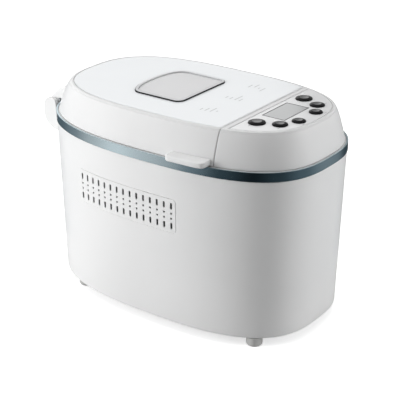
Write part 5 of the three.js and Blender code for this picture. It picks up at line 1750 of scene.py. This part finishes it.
    def hinge_arm(self) -> None:
        """The hinge arm: a barrel on the pin and a smooth hood up to the lid's rear wall."""
        x, z = self.hinge
        r, top = self.barrel, self.outline.head_bottom + 0.4
        turn = np.linspace(np.pi, 2 * np.pi, 26)
        barrel = np.stack([x + r * np.cos(turn), z + r * np.sin(turn)], axis=1)
        right = np.array([[x + r, top], [x + 26, top], [x + 26, z + 31.5]])
        crest = blended(right[-1], np.array([x + 9, z + 28]), np.array([x, z + 16.5]), 14)[1:]
        back = blended(crest[-1], np.array([x - r, z + 10]), np.array([x - r, z]), 16)[1:-1]
        outline = np.vstack([barrel, right, crest, back])
        arm = self.shop.raw("lid_hinge_hood", [extruded(outline, "y", -self.arm_half, self.arm_half, 1.6, 6)])
        levels = np.linspace(self.outline.head_bottom, self.outline.top, 8)
        rear = stacked([self.outline.head(v, -0.3, 60.0, End.REAR) for v in levels])
        self.shop.combine(arm, [rear], "DIFFERENCE")
        bore = plug(2.3, -60.0, 60.0, (x, 0, z), "y", 28)
        self.shop.combine(arm, [bore], "DIFFERENCE")
        self.shop.finish(arm, "lid", "body_white", "white_moulding", ["lid_hinge_arm"])


@dataclass
class HingeBracket:
    """The fixed bracket: two round cheeks and a saddle between them, on the body's rear end."""

    shop: Workshop
    outline: Outlines
    axis: tuple[float, float] = (-200.0, 202.0)
    reach: float = 213.3
    half: float = 40.0
    cheek: float = 5.5

    def build(self) -> None:
        """Cheeks and saddle joined, then cut to the body wall and bored for the pin."""
        out = self.outline
        body = self.shop.raw("hinge_cheeks", [self._cheek(-self.half)])
        self.shop.combine(body, [self._cheek(self.half - self.cheek)], "UNION")
        self.shop.combine(body, [self._saddle()], "UNION")
        wall = stacked([out.body(z, -0.3) for z in np.linspace(out.height - 70, out.height + 0.0, 8)])
        self.shop.combine(body, [wall], "DIFFERENCE")
        x, z = self.axis
        pin = self.half - 0.4
        bore = plug(2.3, -pin, pin, (x, 0, z), "y", 28)
        self.shop.combine(body, [bore], "DIFFERENCE")
        self.shop.finish(body, "housing", "body_white", "white_moulding", ["hinge_bracket"])

    def _cheek(self, low: float) -> Patch:
        """One cheek: a round-topped ear that sweeps down and in to the wall.

        Args:
            low: the cheek's lower Y.

        Returns:
            The cheek.
        """
        x, z = self.axis
        far, inside, into = -self.reach, x + 8.5, 1 - self.reach + 36
        curve = lambda a, b, c, n=10: blended(np.array(a), np.array(b), np.array(c), n)
        outline = np.vstack([
            [[inside, z - 15.7], [inside, z + 3]],
            curve([inside, z + 3], [inside, z + 11.8], [x, z + 11.9])[1:],
            curve([x, z + 11.9], [far + 0.5, z + 12], [far + 0.5, z - 1], 14)[1:],
            [[far, z - 9]],
            curve([far, z - 9], [far, z - 17.5], [far + 5.5, z - 22.8])[1:],
            curve([far + 5.5, z - 22.8], [far + 11, z - 29], [far + 21, z - 30.3])[1:],
            [[into, z - 31], [into, z - 15.7]],
        ])
        return extruded(outline, "y", low, low + self.cheek, 1.3, 5)

    def _saddle(self) -> Patch:
        """The block between the cheeks, hollowed round the barrel's sweep.

        Returns:
            The saddle.
        """
        x, z = self.axis
        outline = rounded([[x + 25, z - 30.2], [x + 25, z - 17.5], [x + 10, z - 17.5], [x + 6, z - 19.5],
                           [x - 5, z - 20.5], [x - 6, z - 23], [x - 1, z - 27], [x + 9, z - 29.8]],
                          [0, 0, 1, 2, 1, 1, 2, 2], 6, closed=True)
        return extruded(outline, "y", -self.half + 1, self.half - 1)


# ------------------------------------------------------------------ studio


@dataclass
class Studio:
    """The floor, lights and camera."""

    target: tuple[float, float, float] = (0.01165, 0.0, 0.107)
    azimuth: float = 36.24
    elevation: float = 24.45
    distance: float = 1.5626
    lens: float = 112.12
    shift: tuple[float, float] = (0.01125, 0.02598)

    def build(self) -> None:
        """Builds the whole studio."""
        bpy.context.scene.view_settings.view_transform = "Standard"
        self.camera()
        self.floor()
        self.sky()
        self.lights()

    def _away(self, azimuth: float, elevation: float) -> Vector:
        """The unit direction from the machine to a point at an azimuth and elevation."""
        a, e = math.radians(azimuth), math.radians(elevation)
        return Vector((math.sin(a) * math.cos(e), -math.cos(a) * math.cos(e), math.sin(e)))

    def camera(self) -> None:
        """The camera, looking down at the machine's front left corner."""
        data = bpy.data.cameras.new("camera")
        data.lens, data.sensor_width = self.lens, 36.0
        data.shift_x, data.shift_y = self.shift
        eye = bpy.data.objects.new("camera", data)
        away = self._away(self.azimuth, self.elevation)
        eye.location = Vector(self.target) + away * self.distance
        eye.rotation_euler = (-away).to_track_quat("-Z", "Y").to_euler()
        bpy.context.scene.collection.objects.link(eye)
        bpy.context.scene.camera = eye

    def floor(self) -> None:
        """A wide pale floor, and a card over it that only reflections see."""
        self._sheet("floor", 0.0, 0.0, 14.0, self._floor_material())
        card = self._sheet("reflection_card", 0.0006, 0.26, 9.0, self._card_material())
        card.visible_camera = card.visible_diffuse = card.visible_shadow = False
        card.visible_transmission = card.visible_volume_scatter = False

    def _sheet(self, name: str, z: float, inner: float, outer: float,
               material: bpy.types.Material) -> bpy.types.Object:
        """A flat ring or disc about the machine, marked as stage.

        Args:
            name: the object's name.
            z: the height.
            inner: the inner radius, or 0 for a disc.
            outer: the outer radius.
            material: its material.

        Returns:
            The object.
        """
        angle = np.linspace(0, 2 * np.pi, 96, endpoint=False)
        ring = lambda r: np.column_stack([r * np.cos(angle), r * np.sin(angle), np.full(96, z)])
        points, quads = grid(np.stack([ring(r) for r in (max(inner, 1e-3), max(inner, 0.3), 1.0, 3.0, outer)]))
        mesh = bpy.data.meshes.new(name)
        mesh.from_pydata(points, [], quads)
        sheet = bpy.data.objects.new(name, mesh)
        bpy.context.scene.collection.objects.link(sheet)
        mesh.materials.append(material)
        sheet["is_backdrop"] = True
        return sheet

    @staticmethod
    def _floor_material() -> bpy.types.Material:
        """A pale matt floor that lights the machine from below a little less than it shows.

        Returns:
            The material.
        """
        material = bpy.data.materials.new("pale_floor")
        material.use_nodes = True
        tree = material.node_tree
        shader = tree.nodes["Principled BSDF"]
        shader.inputs["Roughness"].default_value = 0.9
        shader.inputs["Specular IOR Level"].default_value = 0.0
        shader.inputs["Base Color"].default_value = (0.55, 0.55, 0.55, 1)
        bright = tree.nodes.new("ShaderNodeBsdfDiffuse")
        bright.inputs["Color"].default_value = (0.93, 0.93, 0.93, 1)
        lift = tree.nodes.new("ShaderNodeEmission")
        lift.inputs["Strength"].default_value = 0.62
        shown = tree.nodes.new("ShaderNodeAddShader")
        tree.links.new(bright.outputs[0], shown.inputs[0])
        tree.links.new(lift.outputs[0], shown.inputs[1])
        Studio._split(tree, shader, shown, tree.nodes["Material Output"])
        return material

    @staticmethod
    def _split(tree: bpy.types.NodeTree, lit: bpy.types.Node, shown: bpy.types.Node,
               out: bpy.types.Node) -> None:
        """One shader for what the surface does to the light, another for how bright it looks.

        Args:
            tree: the node tree.
            lit: the shader that light and reflections meet.
            shown: the shader that is seen directly.
            out: the output node.
        """
        seen = tree.nodes.new("ShaderNodeLightPath")
        mix = tree.nodes.new("ShaderNodeMixShader")
        for source, socket in ((seen.outputs["Is Camera Ray"], 0), (lit.outputs[0], 1), (shown.outputs[0], 2)):
            tree.links.new(source, mix.inputs[socket])
        tree.links.new(mix.outputs[0], out.inputs[0])

    @staticmethod
    def _around(tree: bpy.types.NodeTree, vector: bpy.types.NodeSocket,
                stops: Sequence[tuple[float, float]],
                tint: tuple[float, float, float] = (1.0, 1.0, 1.0)) -> bpy.types.NodeSocket:
        """A brightness that depends on the direction round the machine.

        Args:
            tree: the node tree.
            vector: a direction or place; its angle in plan is used.
            stops: degrees from -180 to 180 and the brightness there, in order.
            tint: what the darkest stops are multiplied by; it fades out by a brightness of 0.5.

        Returns:
            The brightness.
        """
        split = tree.nodes.new("ShaderNodeSeparateXYZ")
        angle = tree.nodes.new("ShaderNodeMath")
        angle.operation = "ARCTAN2"
        unit = tree.nodes.new("ShaderNodeMapRange")
        unit.inputs["From Min"].default_value, unit.inputs["From Max"].default_value = -math.pi, math.pi
        ramp = tree.nodes.new("ShaderNodeValToRGB")
        ramp.color_ramp.interpolation = "EASE"
        tree.links.new(vector, split.inputs[0])
        tree.links.new(split.outputs["Y"], angle.inputs[0])
        tree.links.new(split.outputs["X"], angle.inputs[1])
        tree.links.new(angle.outputs[0], unit.inputs["Value"])
        tree.links.new(unit.outputs["Result"], ramp.inputs["Fac"])
        elements = ramp.color_ramp.elements
        while len(elements) < len(stops):
            elements.new(0.5)
        for element, (degrees, value) in zip(elements, stops):
            element.position = (degrees + 180) / 360
            fade = min(1.0, value / 0.5)
            element.color = (*(value * (t + (1 - t) * fade) for t in tint), 1)
        return ramp.outputs["Color"]

    def _card_material(self) -> bpy.types.Material:
        """A glow that is bright to the left rear and dark towards the front left corner.

        Returns:
            The material.
        """
        material = bpy.data.materials.new("reflection_card")
        material.use_nodes = True
        tree = material.node_tree
        tree.nodes.clear()
        place = tree.nodes.new("ShaderNodeTexCoord").outputs["Object"]
        stops = [(-180, 0.17), (-160, 0.32), (-144, 0.66), (-129, 1.0), (-116, 0.62), (-103, 0.26), (-85, 0.07),
                 (-58, 0.015), (-27, 0.05), (12, 0.15), (45, 0.30), (68, 0.07), (110, 0.06), (150, 0.10),
                 (180, 0.17)]
        glow = tree.nodes.new("ShaderNodeEmission")
        tree.links.new(self._around(tree, place, stops, (0.62, 0.95, 1.15)), glow.inputs["Color"])
        out = tree.nodes.new("ShaderNodeOutputMaterial")
        tree.links.new(glow.outputs[0], out.inputs["Surface"])
        return material

    def sky(self) -> None:
        """Soft light from all round, strongest to the rear left and weakest towards the front left corner."""
        world = bpy.data.worlds.new("sky")
        bpy.context.scene.world = world
        world.use_nodes = True
        tree = world.node_tree
        place = tree.nodes.new("ShaderNodeTexCoord").outputs["Generated"]
        stops = [(-180, 0.95), (-145, 1.0), (-115, 0.7), (-85, 0.26), (-54, 0.14), (-25, 0.2), (5, 0.5),
                 (36, 0.7), (80, 0.75), (120, 0.9), (150, 1.0), (180, 0.95)]
        back = tree.nodes["Background"]
        tree.links.new(self._around(tree, place, stops), back.inputs["Color"])
        back.inputs["Strength"].default_value = 0.5
        plain = tree.nodes.new("ShaderNodeBackground")
        plain.inputs["Color"].default_value = (1.0, 1.0, 1.0, 1)
        self._split(tree, back, plain, tree.nodes["World Output"])

    def lights(self) -> None:
        """Soft boxes over the machine and tall ones on either side, across the camera's line."""
        for name, azimuth, elevation, distance, size, power, gloss in (
                ("top_box", 10.0, 82.0, 1.7, (1.5, 1.1), 8.5, True),
                ("back_box", -130.0, 27.0, 2.0, (1.5, 0.9), 3.0, True),
                ("left_box", -44.0, 10.0, 1.7, (0.7, 1.3), 28.0, False),
                ("right_box", 116.0, 10.0, 1.7, (0.7, 1.3), 18.0, False)):
            data = bpy.data.lights.new(name, "AREA")
            data.shape, data.energy = "RECTANGLE", power
            data.size, data.size_y = size
            lamp = bpy.data.objects.new(name, data)
            lamp.visible_glossy = gloss
            away = self._away(azimuth, elevation)
            lamp.location = Vector(self.target) + away * distance
            lamp.rotation_euler = (-away).to_track_quat("-Z", "Y").to_euler()
            bpy.context.scene.collection.objects.link(lamp)


def save_sizes(before: object, after: object) -> None:
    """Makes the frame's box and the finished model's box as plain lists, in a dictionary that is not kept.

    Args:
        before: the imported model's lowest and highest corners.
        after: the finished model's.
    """
    plain = lambda box: [[float(v) for v in corner] for corner in box]
    {"frame": plain(before), "model": plain(after)}


def main() -> None:
    """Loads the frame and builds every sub-assembly in order."""
    logging.basicConfig(level=logging.INFO, format="%(name)s %(message)s", stream=sys.stdout)
    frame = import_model()
    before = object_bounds()
    low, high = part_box("trim_band")
    outline = Outlines()
    shop = Workshop(frame, shift=(low.x + high.x) / 2 / MM, foot=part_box("outer_body")[0].z / MM)
    window = WindowOutline()
    Studio().build()
    for assembly in (Housing(shop, outline), TrimBand(shop, outline), Deck(shop, outline), Oven(shop),
                     BreadPan(shop), Drive(shop), ControlHead(shop, outline), Lid(shop, outline, window),
                     HingeBracket(shop, outline)):
        LOG.info("building %s", type(assembly).__name__)
        assembly.build()
    save_sizes(before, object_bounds())


if __name__ == "__main__":
    main()
